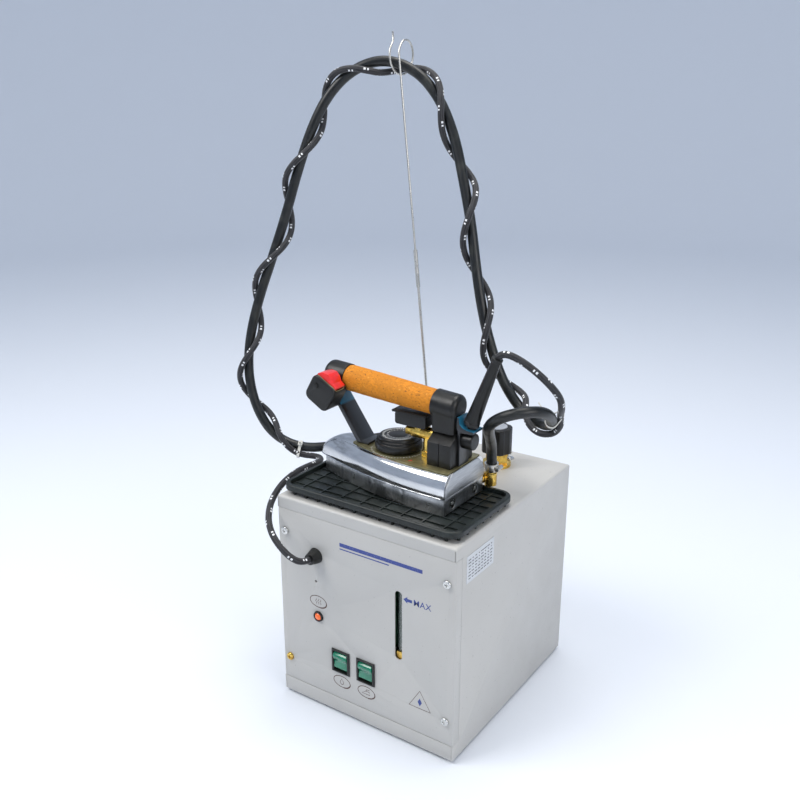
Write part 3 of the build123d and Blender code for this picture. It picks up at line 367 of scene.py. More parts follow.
def bracket_enamel(color):
    """Blue-green enamel on the strip's flat faces, with painted shade in near black on its sawn edges."""
    enamel = Finish("bracket_blue", color, 0.3, Coat_Weight=0.3, Coat_Roughness=0.2)
    normal = enamel.node("ShaderNodeNewGeometry").outputs["Normal"]
    sideways = enamel.math("ABSOLUTE", enamel.node("ShaderNodeSeparateXYZ", {"Vector": normal}).outputs["Y"])
    # painted shade: faces that point along Y, the strip's sawn edges, go near black
    edge = enamel.between(sideways, 0.75, 0.9)
    body = enamel.mix(enamel.between(enamel.noise(80.0, 5.0), 0.35, 0.7), color, shade(color, 1.45))
    height = enamel.node("ShaderNodeSeparateXYZ", {"Vector": enamel.place()}).outputs["Z"]
    curve = enamel.between(height, CABINET_TOP + 0.0965, CABINET_TOP + 0.0985)
    body = enamel.mix(curve, (0.008, 0.009, 0.010), body)
    enamel.feed("Base Color", enamel.mix(edge, body, (0.012, 0.013, 0.015)))
    enamel.bump(enamel.noise(700.0, 3.0), 0.04 * MM, 0.5)
    return enamel.material


def gloss_moulding(name, color, rough=0.14, lamp_and_painted_glow=0.0):
    """Clear-coated moulding whose colour deepens in soft clouds; the emission gives the pilot lamp its glow
    and paints a glow on the rocker switches and the steam button.
    """
    moulding = Finish(name, color, rough, Coat_Weight=0.5, Coat_Roughness=0.06, Specular_IOR_Level=0.6)
    if lamp_and_painted_glow:
        moulding.shader.inputs["Emission Color"].default_value = (*color, 1.0)
        moulding.shader.inputs["Emission Strength"].default_value = lamp_and_painted_glow
    cloud = moulding.between(moulding.noise(120.0, 3.0), 0.3, 0.7)
    moulding.feed("Base Color", moulding.mix(cloud, shade(color, 0.82), shade(color, 1.15)))
    moulding.bump(moulding.noise(500.0, 2.0), 0.02 * MM, 0.3)
    return moulding.material


def gauge_glass():
    glass = Finish("gauge_clear", (0.86, 0.93, 0.89), 0.04, Transmission_Weight=0.92, IOR=1.47)
    streak = glass.between(glass.noise(160.0, 3.0, glass.place(scale=(1, 1, 0.1))), 0.3, 0.7, 0.02, 0.09)
    glass.feed("Roughness", streak)
    return glass.material


def gauge_backing():
    backing = Finish("gauge_dark", (0.01, 0.04, 0.022), 0.35)
    mottle = backing.between(backing.noise(150.0, 5.0), 0.35, 0.7)
    backing.feed("Base Color", backing.mix(mottle, (0.006, 0.026, 0.014), (0.018, 0.07, 0.03)))
    return backing.material


def silver_foil():
    foil = Finish("printed_silver", (0.6, 0.61, 0.62), 0.36, 0.75)
    lines = foil.noise(300.0, 3.0, foil.place(scale=(1, 0.1, 1)))
    foil.feed("Base Color", foil.mix(lines, (0.5, 0.51, 0.52), (0.74, 0.75, 0.76)))
    return foil.material


def ink(name, color):
    """Screen-printed ink with slightly thin patches."""
    print_ink = Finish(name, color, 0.45)
    thin = print_ink.between(print_ink.noise(500.0, 4.0), 0.55, 0.8)
    worn = print_ink.math("MULTIPLY", thin, 0.35)
    print_ink.feed("Base Color", print_ink.mix(worn, color, (0.5, 0.5, 0.5)))
    return print_ink.material


def hose_rubber():
    """Plain black hose with a faint cloth mark and rubbed grey patches."""
    rubber = Finish("hose_rubber", (0.014, 0.015, 0.014), 0.42, Specular_IOR_Level=0.5)
    rub = rubber.between(rubber.noise(70.0, 6.0), 0.5, 0.75)
    rubber.feed("Base Color", rubber.mix(rub, (0.004, 0.005, 0.005), (0.018, 0.02, 0.017)))
    rubber.feed("Roughness", rubber.between(rub, 0.0, 1.0, 0.34, 0.62))
    rubber.bump(rubber.noise(800.0, 3.0), 0.05 * MM, 0.5)
    return rubber.material


def braid(pitch):
    """Black braid in the cable's own coordinates: U runs once round, V is metres along it."""
    cloth = Finish("cable_braid", (0.012, 0.012, 0.014), 0.68, Sheen_Weight=0.25, Sheen_Roughness=0.4)
    place = cloth.node("ShaderNodeSeparateXYZ", {"Vector": cloth.place(source="UV")})
    around, along = place.outputs["X"], place.outputs["Y"]

    def lay(turns, run, sign):
        """Phase of a strand that goes round as it runs along."""
        wound = cloth.math("MULTIPLY", around, float(turns * sign))
        return cloth.math("FRACT", cloth.math("ADD", wound, cloth.math("DIVIDE", along, run)))

    strands = []
    for sign in (-1, 1):
        wave = cloth.math("PINGPONG", lay(8, 8 * pitch / 4, sign), 0.5)
        strands.append(wave)
    relief = cloth.math("MAXIMUM", strands[0], strands[1])
    phase = cloth.math("FRACT", cloth.math("DIVIDE", along, pitch))
    turn = cloth.math("MULTIPLY", cloth.math("FLOOR", cloth.math("DIVIDE", along, pitch)), 0.37)
    side = cloth.math("PINGPONG", cloth.math("ADD", cloth.math("MULTIPLY", around, 2.0), turn), 0.5)
    spots = []
    for middle, half_length in ((0.40, 0.065), (0.62, 0.05)):
        off = cloth.math("ABSOLUTE", cloth.math("SUBTRACT", phase, middle))
        spots.append(cloth.math("LESS_THAN", off, half_length))
    near = cloth.math("LESS_THAN", side, 0.11)
    tracer = cloth.math("MULTIPLY", cloth.math("MAXIMUM", spots[0], spots[1]), near)
    thread = cloth.between(relief, 0.1, 0.5)
    body = cloth.mix(thread, (0.006, 0.006, 0.008), (0.028, 0.028, 0.032))
    cloth.feed("Base Color", cloth.mix(tracer, body, (0.78, 0.79, 0.80)))
    cloth.bump(relief, 0.35 * MM, 0.8)
    return cloth.material


def nylon():
    tie = Finish("tie_white", (0.74, 0.73, 0.68), 0.4)
    cloud = tie.between(tie.noise(200.0, 3.0), 0.3, 0.7)
    tie.feed("Base Color", tie.mix(cloud, (0.66, 0.65, 0.58), (0.80, 0.79, 0.75)))
    return tie.material


def stage_floor(color):
    floor = Finish("stage_floor", color, 0.6)
    return floor.material


def make_materials(cabinet, iron, cord):
    made = {
        "cabinet_paint": cabinet_paint(tuple(cabinet.paint)),
        "screw_steel": steel("screw_steel", rough=0.2, run=(6, 1, 6)),
        "brass": brass(),
        "rubber_black": rest_rubber(),
        "plastic_black": black_plastic(),
        # painted glow: the rockers are no lamps, their emission stands in for the light they catch
        "switch_green": gloss_moulding("switch_green", tuple(cabinet.rocker), lamp_and_painted_glow=0.12),
        "lamp_orange": gloss_moulding("lamp_orange", (0.80, 0.13, 0.015), lamp_and_painted_glow=0.3),
        "gauge_clear": gauge_glass(),
        "gauge_dark": gauge_backing(),
        "printed_silver": silver_foil(),
        "boiler_steel": steel("boiler_steel", (0.55, 0.55, 0.54), 0.34, (14, 1, 1)),
        "spring_steel": steel("spring_steel", (0.62, 0.60, 0.55), 0.28),
        "polished_aluminium": polished_aluminium(),
        "satin_aluminium": satin_aluminium(),
        "plate_brass": plate_brass(),
        "sole_aluminium": sole_casting(),
        "cork": pressed_cork(tuple(iron.cork)),
        "bracket_blue": bracket_enamel(tuple(iron.bracket)),
        # painted glow: the steam button is no lamp, its emission stands in for light
        "button_red": gloss_moulding("button_red", tuple(iron.button), 0.28, 0.08),
        "hose_rubber": hose_rubber(),
        "cable_braid": braid(cord.fleck_pitch),
        "tie_white": nylon(),
        "ink_blue": ink("ink_blue", tuple(cabinet.ink)),
        "ink_brown": ink("ink_brown", (0.07, 0.022, 0.012)),
        "ink_pale": ink("ink_pale", (0.78, 0.78, 0.74)),
        "ink_grey": ink("ink_grey", (0.05, 0.05, 0.055)),
        "ink_red": ink("ink_red", (0.75, 0.03, 0.04)),
        # painted highlight: khaki for the warm light on the button housing's rim
        "khaki_painted_highlight": black_plastic("khaki_painted_highlight", (0.13, 0.115, 0.06), 0.4),
    }
    return made


MATERIALS = {}


# ---------------------------------------------------------------- mesh helpers
def mesh_object(name, points, faces, material, smooth=True, sharp=35):
    """New object from points and faces, shaded smooth up to a sharp angle."""
    mesh = bpy.data.meshes.new(name)
    mesh.from_pydata([tuple(point) for point in points], [], faces)
    mesh.materials.append(MATERIALS[material])
    obj = bpy.data.objects.new(name, mesh)
    bpy.context.scene.collection.objects.link(obj)
    settle(obj, smooth, sharp)
    return obj


def settle(obj, smooth=True, sharp=35):
    """Merge doubles, face every side outwards and set the shading."""
    work = bmesh.new()
    work.from_mesh(obj.data)
    bmesh.ops.remove_doubles(work, verts=work.verts, dist=0.002 * MM)
    bmesh.ops.recalc_face_normals(work, faces=work.faces)
    work.to_mesh(obj.data)
    work.free()
    if smooth:
        obj.data.shade_smooth()
        obj.data.set_sharp_from_angle(angle=math.radians(sharp))


def bake_modifiers(obj, material=None):
    """Turn the object's modifiers into a plain mesh."""
    graph = bpy.context.evaluated_depsgraph_get()
    graph.update()
    mesh = bpy.data.meshes.new_from_object(obj.evaluated_get(graph))
    obj.modifiers.clear()
    obj.data = mesh
    if material:
        mesh.materials.clear()
        mesh.materials.append(MATERIALS[material])
    return obj


def settle_on(obj, body, slot, *replaced):
    """Ride on a body and stand for CAD nodes; the slot is not used."""
    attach(obj, body)
    if replaced:
        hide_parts(*replaced)
    return obj


def body_of(node):
    return NODES[node]["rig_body"]


def rounded_copy(node, material, slot, width, segments=2, angle=32, sharp=40):
    """Copy of a CAD piece with its hard edges broken, standing for that piece."""
    source = NODES[node].data
    work = bmesh.new()
    work.from_mesh(source)
    bmesh.ops.remove_doubles(work, verts=work.verts, dist=0.002 * MM)
    bmesh.ops.dissolve_limit(work, angle_limit=math.radians(0.6), verts=work.verts, edges=work.edges)
    work.verts.index_update()
    points = [vertex.co.copy() for vertex in work.verts]
    faces = [[vertex.index for vertex in face.verts] for face in work.faces]
    work.free()
    mesh = bpy.data.meshes.new(node + "_finished")
    mesh.from_pydata(points, [], faces)
    mesh.materials.append(MATERIALS[material])
    obj = bpy.data.objects.new(node + "_finished", mesh)
    bpy.context.scene.collection.objects.link(obj)
    bevel = obj.modifiers.new("edges", "BEVEL")
    bevel.width = width
    bevel.segments = segments
    bevel.limit_method = "ANGLE"
    bevel.angle_limit = math.radians(angle)
    bevel.miter_outer = "MITER_ARC"
    bake_modifiers(obj)
    obj.data.shade_smooth()
    obj.data.set_sharp_from_angle(angle=math.radians(sharp))
    return settle_on(obj, body_of(node), slot, node)


def paint_node(node, material):
    """Give a carried-over CAD piece its finish."""
    mesh = NODES[node]
    if not mesh.material_slots:
        mesh.data.materials.append(MATERIALS[material])
    for entry in mesh.material_slots:
        entry.material = MATERIALS[material]


def turned(name, start, end, profile, material, sides=48, sharp=35):
    """Lathe-turned solid: profile lists (share of the way from start to end, radius)."""
    start, end = Vector(start), Vector(end)
    axis = end - start
    turn = axis.to_track_quat("Z", "Y")
    points = []
    faces = []
    for share, radius in profile:
        for side in range(sides):
            angle = 2 * math.pi * side / sides
            ring = turn @ Vector((radius * math.cos(angle), radius * math.sin(angle), 0.0))
            points.append(start + axis * share + ring)
    for row in range(len(profile) - 1):
        for side in range(sides):
            ahead = (side + 1) % sides
            faces.append([row * sides + side, row * sides + ahead,
                          (row + 1) * sides + ahead, (row + 1) * sides + side])
    faces.append(list(range(sides)))
    faces.append([(len(profile) - 1) * sides + side for side in range(sides)])
    return mesh_object(name, points, faces, material, sharp=sharp)


# ---------------------------------------------------------------- geometry node trees
def new_tree(name, inputs):
    """Empty geometry tree with named inputs, and its group input and output."""
    tree = bpy.data.node_groups.new(name, "GeometryNodeTree")
    for label, kind, default in inputs:
        socket = tree.interface.new_socket(name=label, in_out="INPUT", socket_type=kind)
        if default is not None:
            socket.default_value = default
    tree.interface.new_socket(name="Geometry", in_out="OUTPUT", socket_type="NodeSocketGeometry")
    return tree, tree.nodes.new("NodeGroupInput"), tree.nodes.new("NodeGroupOutput")


def tree_math(tree, operation, first, second=None):
    node = tree.nodes.new("ShaderNodeMath")
    node.operation = operation
    for index, value in enumerate((first, second)):
        if isinstance(value, bpy.types.NodeSocket):
            tree.links.new(value, node.inputs[index])
        elif value is not None:
            node.inputs[index].default_value = value
    return node.outputs[0]


def tree_vector(tree, x=0.0, y=0.0, z=0.0):
    node = tree.nodes.new("ShaderNodeCombineXYZ")
    for index, value in enumerate((x, y, z)):
        if isinstance(value, bpy.types.NodeSocket):
            tree.links.new(value, node.inputs[index])
        else:
            node.inputs[index].default_value = value
    return node.outputs[0]


def finish_tree(tree, points, instance, rotation, scale, source, output):
    """Instance a shape on points, realise it and give it its material."""
    place = tree.nodes.new("GeometryNodeInstanceOnPoints")
    tree.links.new(points, place.inputs["Points"])
    tree.links.new(instance, place.inputs["Instance"])
    tree.links.new(rotation, place.inputs["Rotation"])
    if scale is not None:
        tree.links.new(scale, place.inputs["Scale"])
    realise = tree.nodes.new("GeometryNodeRealizeInstances")
    tree.links.new(place.outputs["Instances"], realise.inputs["Geometry"])
    cover = tree.nodes.new("GeometryNodeSetMaterial")
    tree.links.new(realise.outputs["Geometry"], cover.inputs["Geometry"])
    tree.links.new(source.outputs["Material"], cover.inputs["Material"])
    tree.links.new(cover.outputs["Geometry"], output.inputs["Geometry"])


def ring_tree():
    """Marks set radially on an arc."""
    inputs = [("Count", "NodeSocketInt", 12), ("Radius", "NodeSocketFloat", 0.02),
              ("Length", "NodeSocketFloat", 0.002), ("Width", "NodeSocketFloat", 0.0005),
              ("Height", "NodeSocketFloat", 0.0002), ("First", "NodeSocketFloat", 0.0),
              ("Span", "NodeSocketFloat", 2 * math.pi), ("Uneven", "NodeSocketFloat", 0.0),
              ("Seed", "NodeSocketInt", 3), ("Material", "NodeSocketMaterial", None)]
    tree, source, output = new_tree("ring_of_marks", inputs)
    points = tree.nodes.new("GeometryNodePoints")
    tree.links.new(source.outputs["Count"], points.inputs["Count"])
    index = tree.nodes.new("GeometryNodeInputIndex").outputs["Index"]
    share = tree_math(tree, "DIVIDE", index, source.outputs["Count"])
    turn = tree_math(tree, "MULTIPLY_ADD", share, source.outputs["Span"])
    tree.links.new(source.outputs["First"], turn.node.inputs[2])
    x = tree_math(tree, "MULTIPLY", tree_math(tree, "COSINE", turn), source.outputs["Radius"])
    y = tree_math(tree, "MULTIPLY", tree_math(tree, "SINE", turn), source.outputs["Radius"])
    tree.links.new(tree_vector(tree, x, y), points.inputs["Position"])
    cube = tree.nodes.new("GeometryNodeMeshCube")
    size = tree_vector(tree, source.outputs["Length"], source.outputs["Width"], source.outputs["Height"])
    tree.links.new(size, cube.inputs["Size"])
    chance = tree.nodes.new("FunctionNodeRandomValue")
    chance.data_type = "FLOAT"
    chance.inputs[2].default_value = 0.0
    chance.inputs[3].default_value = 1.0
    tree.links.new(source.outputs["Seed"], chance.inputs["Seed"])
    less = tree_math(tree, "MULTIPLY", chance.outputs[1], source.outputs["Uneven"])
    long = tree_math(tree, "SUBTRACT", 1.0, less)
    finish_tree(tree, points.outputs[0], cube.outputs["Mesh"], tree_vector(tree, 0.0, 0.0, turn),
                tree_vector(tree, long, 1.0, 1.0), source, output)
    return tree


def rows_tree():
    """Short bars in rows, as the lines of a printed label."""
    inputs = [("Rows", "NodeSocketInt", 6), ("Columns", "NodeSocketInt", 7),
              ("Row Step", "NodeSocketFloat", 0.003), ("Column Step", "NodeSocketFloat", 0.006),
              ("Bar Length", "NodeSocketFloat", 0.005), ("Bar Height", "NodeSocketFloat", 0.001),
              ("Thickness", "NodeSocketFloat", 0.0001), ("Seed", "NodeSocketInt", 5),
              ("Material", "NodeSocketMaterial", None)]
    tree, source, output = new_tree("label_rows", inputs)
    points = tree.nodes.new("GeometryNodePoints")
    total = tree_math(tree, "MULTIPLY", source.outputs["Rows"], source.outputs["Columns"])
    tree.links.new(total, points.inputs["Count"])
    index = tree.nodes.new("GeometryNodeInputIndex").outputs["Index"]
    column = tree_math(tree, "MODULO", index, source.outputs["Columns"])
    row = tree_math(tree, "FLOOR", tree_math(tree, "DIVIDE", index, source.outputs["Columns"]))
    x = tree_math(tree, "MULTIPLY", column, source.outputs["Column Step"])
    y = tree_math(tree, "MULTIPLY", row, source.outputs["Row Step"])
    tree.links.new(tree_vector(tree, x, y), points.inputs["Position"])
    cube = tree.nodes.new("GeometryNodeMeshCube")
    size = tree_vector(tree, source.outputs["Bar Length"], source.outputs["Bar Height"],
                       source.outputs["Thickness"])
    tree.links.new(size, cube.inputs["Size"])
    chance = tree.nodes.new("FunctionNodeRandomValue")
    chance.data_type = "FLOAT"
    chance.inputs[2].default_value = 0.25
    chance.inputs[3].default_value = 1.0
    tree.links.new(source.outputs["Seed"], chance.inputs["Seed"])
    finish_tree(tree, points.outputs[0], cube.outputs["Mesh"], tree_vector(tree),
                tree_vector(tree, chance.outputs[1], 1.0, 1.0), source, output)
    return tree


def grow(name, tree, settings, material, matrix):
    """Run a tree on an empty mesh, keep the plain result, and put its place in its mesh."""
    obj = bpy.data.objects.new(name, bpy.data.meshes.new(name))
    bpy.context.scene.collection.objects.link(obj)
    modifier = obj.modifiers.new("pattern", "NODES")
    modifier.node_group = tree
    settings = dict(settings, Material=MATERIALS[material])
    for item in tree.interface.items_tree:
        if item.item_type == "SOCKET" and item.in_out == "INPUT" and item.name in settings:
            modifier[item.identifier] = settings[item.name]
    bake_modifiers(obj, material)
    obj.data.transform(matrix)
    return obj


# ---------------------------------------------------------------- cabinet
def finish_cabinet(settings):
    for node in ("cover_shell", "base_pan", "front_panel", "rear_panel"):
        rounded_copy(node, "cabinet_paint", "cabinet_paint", 0.35 * MM, 2)
    paint_node("corner_posts", "cabinet_paint")
    for node in ("panel_screws", "eye_screw"):
        paint_node(node, "screw_steel")
    paint_node("brass_panel_screw", "brass")
    for node in ("gauge_unions", "steam_outlet", "drain_valve_body", "filler_neck", "filler_cap_plug",
                 "heating_element"):
        paint_node(node, "brass")
    paint_node("rubber_feet", "rubber_black")
    for node in ("pressure_switch", "mains_inlet", "drain_valve_lever", "cable_gland"):
        paint_node(node, "plastic_black")
    for node in ("left_switch_housing", "right_switch_housing", "pilot_lamp_bezel"):
        rounded_copy(node, "plastic_black", "plastic_black", 0.25 * MM, 2)
    rounded_copy("filler_cap_knob", "plastic_black", "plastic_black", settings.edge_round, 3)
    paint_node("filler_cap_disc", "printed_silver")
    paint_node("pilot_lamp_lens", "lamp_orange")
    paint_node("gauge_glass", "gauge_clear")
    paint_node("gauge_backing", "gauge_dark")
    paint_node("rating_plate", "printed_silver")
    paint_node("boiler_tank", "boiler_steel")
    for node in ("antenna_socket", "antenna_rod"):
        paint_node(node, "spring_steel")
    paint_node("iron_rest", "rubber_black")


def rocker_paddle(side):
    """Glossy paddle: two rounded humps with a shallow valley between, leaning as the CAD rocker does."""
    node = f"{side}_switch_rocker"
    pivot = Vector((centre(node).x, PANEL_FACE + 2.5 * MM, centre(f"{side}_switch_housing").z))
    half_width = 9.45 * MM
    outline = [(3.0, 11.6), (-0.6, 11.7), (-3.9, 10.2), (-5.3, 8.0), (-5.2, 6.0), (-3.6, 2.2), (-3.2, 0.0),
               (-3.6, -2.2), (-5.2, -6.0), (-5.3, -8.0), (-3.9, -10.2), (-0.6, -11.7), (3.0, -11.6)]
    lean = Matrix.Rotation(math.radians(9), 4, "X")
    points = []
    for x in (-half_width, half_width):
        points += [pivot + lean @ Vector((x, y * MM, z * MM)) for y, z in outline]
    count = len(outline)
    faces = [[i, (i + 1) % count, count + (i + 1) % count, count + i] for i in range(count)]
    faces += [list(range(count)), list(range(count, 2 * count))]
    paddle = mesh_object(f"{side}_rocker_paddle", points, faces, "switch_green")
    bevel = paddle.modifiers.new("edges", "BEVEL")
    bevel.width = 0.7 * MM
    bevel.segments = 3
    bevel.angle_limit = math.radians(20)
    bake_modifiers(paddle)
    paddle.data.shade_smooth()
    paddle.data.set_sharp_from_angle(angle=math.radians(50))
    settle_on(paddle, f"{side}_rocker", "switch_green", node)


def on_panel(x, z, lift=0.06):
    """Point just in front of the panel, from millimetres across and up."""
    return Vector((x * MM, PANEL_FACE - lift * MM, z * MM))


def flat_shape(name, outlines, material, lift=0.06):
    """Printed shapes on the panel; each outline is a list of (x, z) in millimetres."""
    points, faces = [], []
    for outline in outlines:
        first = len(points)
        points += [on_panel(x, z, lift) for x, z in outline]
        faces.append(list(range(first, first + len(outline))))
    obj = mesh_object(name, points, faces, material, smooth=False)
    thick = obj.modifiers.new("ink", "SOLIDIFY")
    thick.thickness = 0.05 * MM
    bake_modifiers(obj)
    settle(obj, smooth=False)
    return settle_on(obj, "cabinet", "cabinet_paint")


def band(path, width, closed=True):
    """Quads that make a line of a given width along a path of (x, z) points."""
    path = [Vector(p) for p in path]
    count = len(path)
    sides = []
    for i, point in enumerate(path):
        before = path[(i - 1) % count] if closed or i else point
        after = path[(i + 1) % count] if closed or i < count - 1 else point
        along = (after - before).normalized()
        across = Vector((-along.y, along.x)) * width / 2
        sides.append((point + across, point - across))
    quads = []
    for i in range(count if closed else count - 1):
        a, b = sides[i], sides[(i + 1) % count]
        quads.append([tuple(a[0]), tuple(b[0]), tuple(b[1]), tuple(a[1])])
    return quads


def oval(x, z, width, height, steps=40, start=0.0, span=2 * math.pi):
    angles = [start + span * i / steps for i in range(steps)]
    return [(x + width / 2 * math.cos(a), z + height / 2 * math.sin(a)) for a in angles]


OVALS = {"water": (-32.0, 46.8), "iron": (3.4, 46.7), "steam": (-64.1, 143.2)}


def panel_prints():
    rims, signs = [], []
    for x, z in OVALS.values():
        rims += band(oval(x, z, 24, 14.6), 0.9)
        rims += band(oval(x + 0.5, z - 0.6, 24, 14.6, 14, -1.4, 2.0), 0.7, closed=False)
    x, z = OVALS["water"]
    signs += band([(x, z + 4.2), (x + 2.6, z - 0.6), (x + 1.8, z - 3.0), (x, z - 3.9), (x - 1.8, z - 3.0),
                   (x - 2.6, z - 0.6)], 0.7)
    x, z = OVALS["iron"]
    signs += band([(x - 6.0, z - 2.6), (x + 5.2, z - 2.6), (x + 4.2, z + 1.2), (x - 1.0, z + 1.2)], 0.7)
    signs += band([(x - 0.5, z + 1.4), (x + 0.4, z + 3.6), (x + 4.6, z + 3.6)], 0.7, closed=False)
    x, z = OVALS["steam"]
    for shift in (-3.2, 0.0, 3.2):
        wave = [(x + shift + 0.8 * math.sin(step * 1.1), z - 3.4 + step * 0.85) for step in range(9)]
        signs += band(wave, 0.55, closed=False)
    flat_shape("switch_signs", rims + signs, "ink_brown")
    triangle = band([(76.8, 78.0), (91.0, 55.4), (62.8, 55.4)], 1.1)
    lozenge = [[(76.8, 68.5), (79.6, 63.4), (76.8, 58.4), (74.0, 63.4)]]
    flat_shape("panel_triangle", triangle, "ink_brown")
    flat_shape("panel_lozenge", lozenge, "ink_blue")
    arrow = [[(54.6, 186.4), (60.0, 190.4), (60.0, 188.2), (66.0, 188.2), (66.0, 184.6), (60.0, 184.6),
              (60.0, 182.4)]]
    flat_shape("level_arrow", arrow, "ink_blue")
    stripes = [[(-31.0, 224.2), (79.0, 224.2), (79.0, 228.8), (-31.0, 228.8)],
               [(-31.0, 220.6), (36.0, 220.6), (36.0, 222.0), (-31.0, 222.0)]]
    flat_shape("panel_stripes", stripes, "ink_blue")
    word = printed_word("level_word", "MAX", 7.6, on_panel(67.6, 182.9), "ink_blue")
    settle_on(word, "cabinet", "cabinet_paint")


def printed_word(name, text, height, corner, material):
    """Generic lettering that stands up on the panel, as a thin mesh."""
    curve = bpy.data.curves.new(name, "FONT")
    curve.body = text
    curve.size = height * 1.38 * MM
    curve.extrude = 0.025 * MM
    curve.offset = 0.03 * MM
    curve.space_character = 1.02
    holder = bpy.data.objects.new(name + "_line", curve)
    bpy.context.scene.collection.objects.link(holder)
    graph = bpy.context.evaluated_depsgraph_get()
    graph.update()
    mesh = bpy.data.meshes.new_from_object(holder.evaluated_get(graph))
    bpy.data.objects.remove(holder)
    upright = Matrix(((1, 0, 0, corner.x), (0, 0, -1, corner.y), (0, 1, 0, corner.z), (0, 0, 0, 1)))
    mesh.transform(upright)
    mesh.materials.clear()
    mesh.materials.append(MATERIALS[material])
    obj = bpy.data.objects.new(name, mesh)
    bpy.context.scene.collection.objects.link(obj)
    settle(obj, smooth=False)
    return obj


def label_lines(tree):
    """Rows of plain bars on the rating plate, which faces +X."""
    low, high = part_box("rating_plate")
    settings = {"Rows": 7, "Columns": 8, "Row Step": 3.7 * MM, "Column Step": 6.6 * MM,
                "Bar Length": 6.0 * MM, "Bar Height": 1.1 * MM, "Thickness": 0.06 * MM, "Seed": 11}
    corner = Vector((high.x + 0.04 * MM, low.y + 6 * MM, low.z + 4.5 * MM))
    upright = Matrix(((0, 0, 1, corner.x), (1, 0, 0, corner.y), (0, 1, 0, corner.z), (0, 0, 0, 1)))
    lines = grow("rating_lines", tree, settings, "ink_grey", upright)
    settle_on(lines, "cabinet", "printed_silver")


# ---------------------------------------------------------------- iron
def boat_outline(half, nose_x, nose_r, nose_steps=12, side_steps=30, heel_steps=5):
    """Half plan of the iron from its nose to its heel: nose arc, long side arc, straight to the heel."""
    nose_mid = nose_x + nose_r
    run = WIDEST_X - nose_mid
    radius = (run ** 2 + half ** 2 - nose_r ** 2) / (2 * (half - nose_r))
    meet = math.atan2(radius - half, nose_mid - WIDEST_X)
    points = []
    for step in range(nose_steps):
        angle = math.pi - (math.pi - meet) * step / nose_steps
        points.append((nose_mid + nose_r * math.cos(angle), nose_r * math.sin(angle)))
    for step in range(side_steps):
        angle = meet + (math.pi / 2 - meet) * step / side_steps
        points.append((WIDEST_X + radius * math.cos(angle), half - radius + radius * math.sin(angle)))
    for step in range(heel_steps + 1):
        points.append((WIDEST_X + (HEEL_X - WIDEST_X) * step / heel_steps, half))
    return points


def boat_ring(half, nose_x, nose_r, z):
    """Closed ring of points round the iron at one height."""
    side = boat_outline(half, nose_x, nose_r)
    ring = [Vector((x, IRON_Y - y, z)) for x, y in side]
    ring += [Vector((x, IRON_Y + y, z)) for x, y in reversed(side[1:])]
    return ring


# Heights above the seam in millimetres, with how far the wall stands in and the nose sits back
COVER_ROWS = [
    (0.0, 0.9, 0.6, 10.0), (0.5, 0.35, 0.2, 10.0), (2.0, 0.1, 0.1, 10.4), (5.0, 0.0, 0.7, 11.0),
    (9.0, 0.15, 2.7, 11.5), (13.0, 0.7, 5.4, 12.0), (16.5, 1.8, 9.5, 12.6), (19.5, 3.2, 14.0, 13.0),
    (22.0, 5.0, 18.5, 13.4), (24.0, 7.2, 22.5, 13.8), (25.1, 9.6, 26.0, 14.0), (25.48, 12.4, 29.5, 14.0),
]


def iron_shell():
    """Polished cover: rings that round over into the flat under the dial."""
    points, faces = [], []
    for height, inset, back, nose_r in COVER_ROWS:
        points += boat_ring(HALF_IRON - inset * MM, NOSE_X + back * MM, nose_r * MM,
                            COVER_LOW.z + height * MM)
    count = len(points) // len(COVER_ROWS)
    for row in range(len(COVER_ROWS) - 1):
        for i in range(count):
            ahead = (i + 1) % count
            low, high = row * count, (row + 1) * count
            faces.append([low + i, low + ahead, high + ahead, high + i])
    faces.append(list(range(count)))
    faces.append([(len(COVER_ROWS) - 1) * count + i for i in range(count)])
    shell = mesh_object("iron_shell", points, faces, "polished_aluminium", sharp=48)
    settle_on(shell, "iron", "polished_aluminium", "iron_cover")
    return shell


def seam_bead():
    """Rough bright lip of casting flash where cover and soleplate meet."""
    ring = boat_ring(HALF_IRON - 0.5 * MM, NOSE_X, 10 * MM, COVER_LOW.z - 0.1 * MM)
    ring = [point for point in ring if point.x < HEEL_X - 0.5 * MM]
    half = len(boat_outline(HALF_IRON, NOSE_X, 10 * MM)) - 1
    path = list(reversed(ring[:half])) + list(reversed(ring[half:]))
    sizes = [(0.55 + 0.2 * math.sin(i * 2.3) * math.sin(i * 0.9)) * MM for i in range(len(path))]
    bead = tube("seam_bead", path, sizes, 8, "polished_aluminium")
    settle_on(bead, "iron", "polished_aluminium")


def cork_grip():
    """Turned grip, a little fuller in the middle, with soft ends."""
    low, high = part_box("handle_grip")
    start = Vector((low.x + 1.0 * MM, IRON_Y, high.z - 15.0 * MM))
    end = Vector((high.x - 1.0 * MM, IRON_Y, low.z + 14.0 * MM))
    profile = []
    steps = 44
    for step in range(steps + 1):
        share = step / steps
        radius = (15.0 - share) + 0.35 * math.sin(math.pi * share)
        edge = min(share, 1 - share) * 117.0
        if edge < 1.2:
            radius -= 0.55 * (1 - edge / 1.2) ** 2
        wobble = 0.05 * math.sin(share * 41) + 0.04 * math.sin(share * 97 + 1)
        profile.append((share, (radius + wobble) * MM))
    grip = turned("cork_grip", start, end, profile, "cork", 64, 60)
    settle_on(grip, "iron", "cork", "handle_grip")


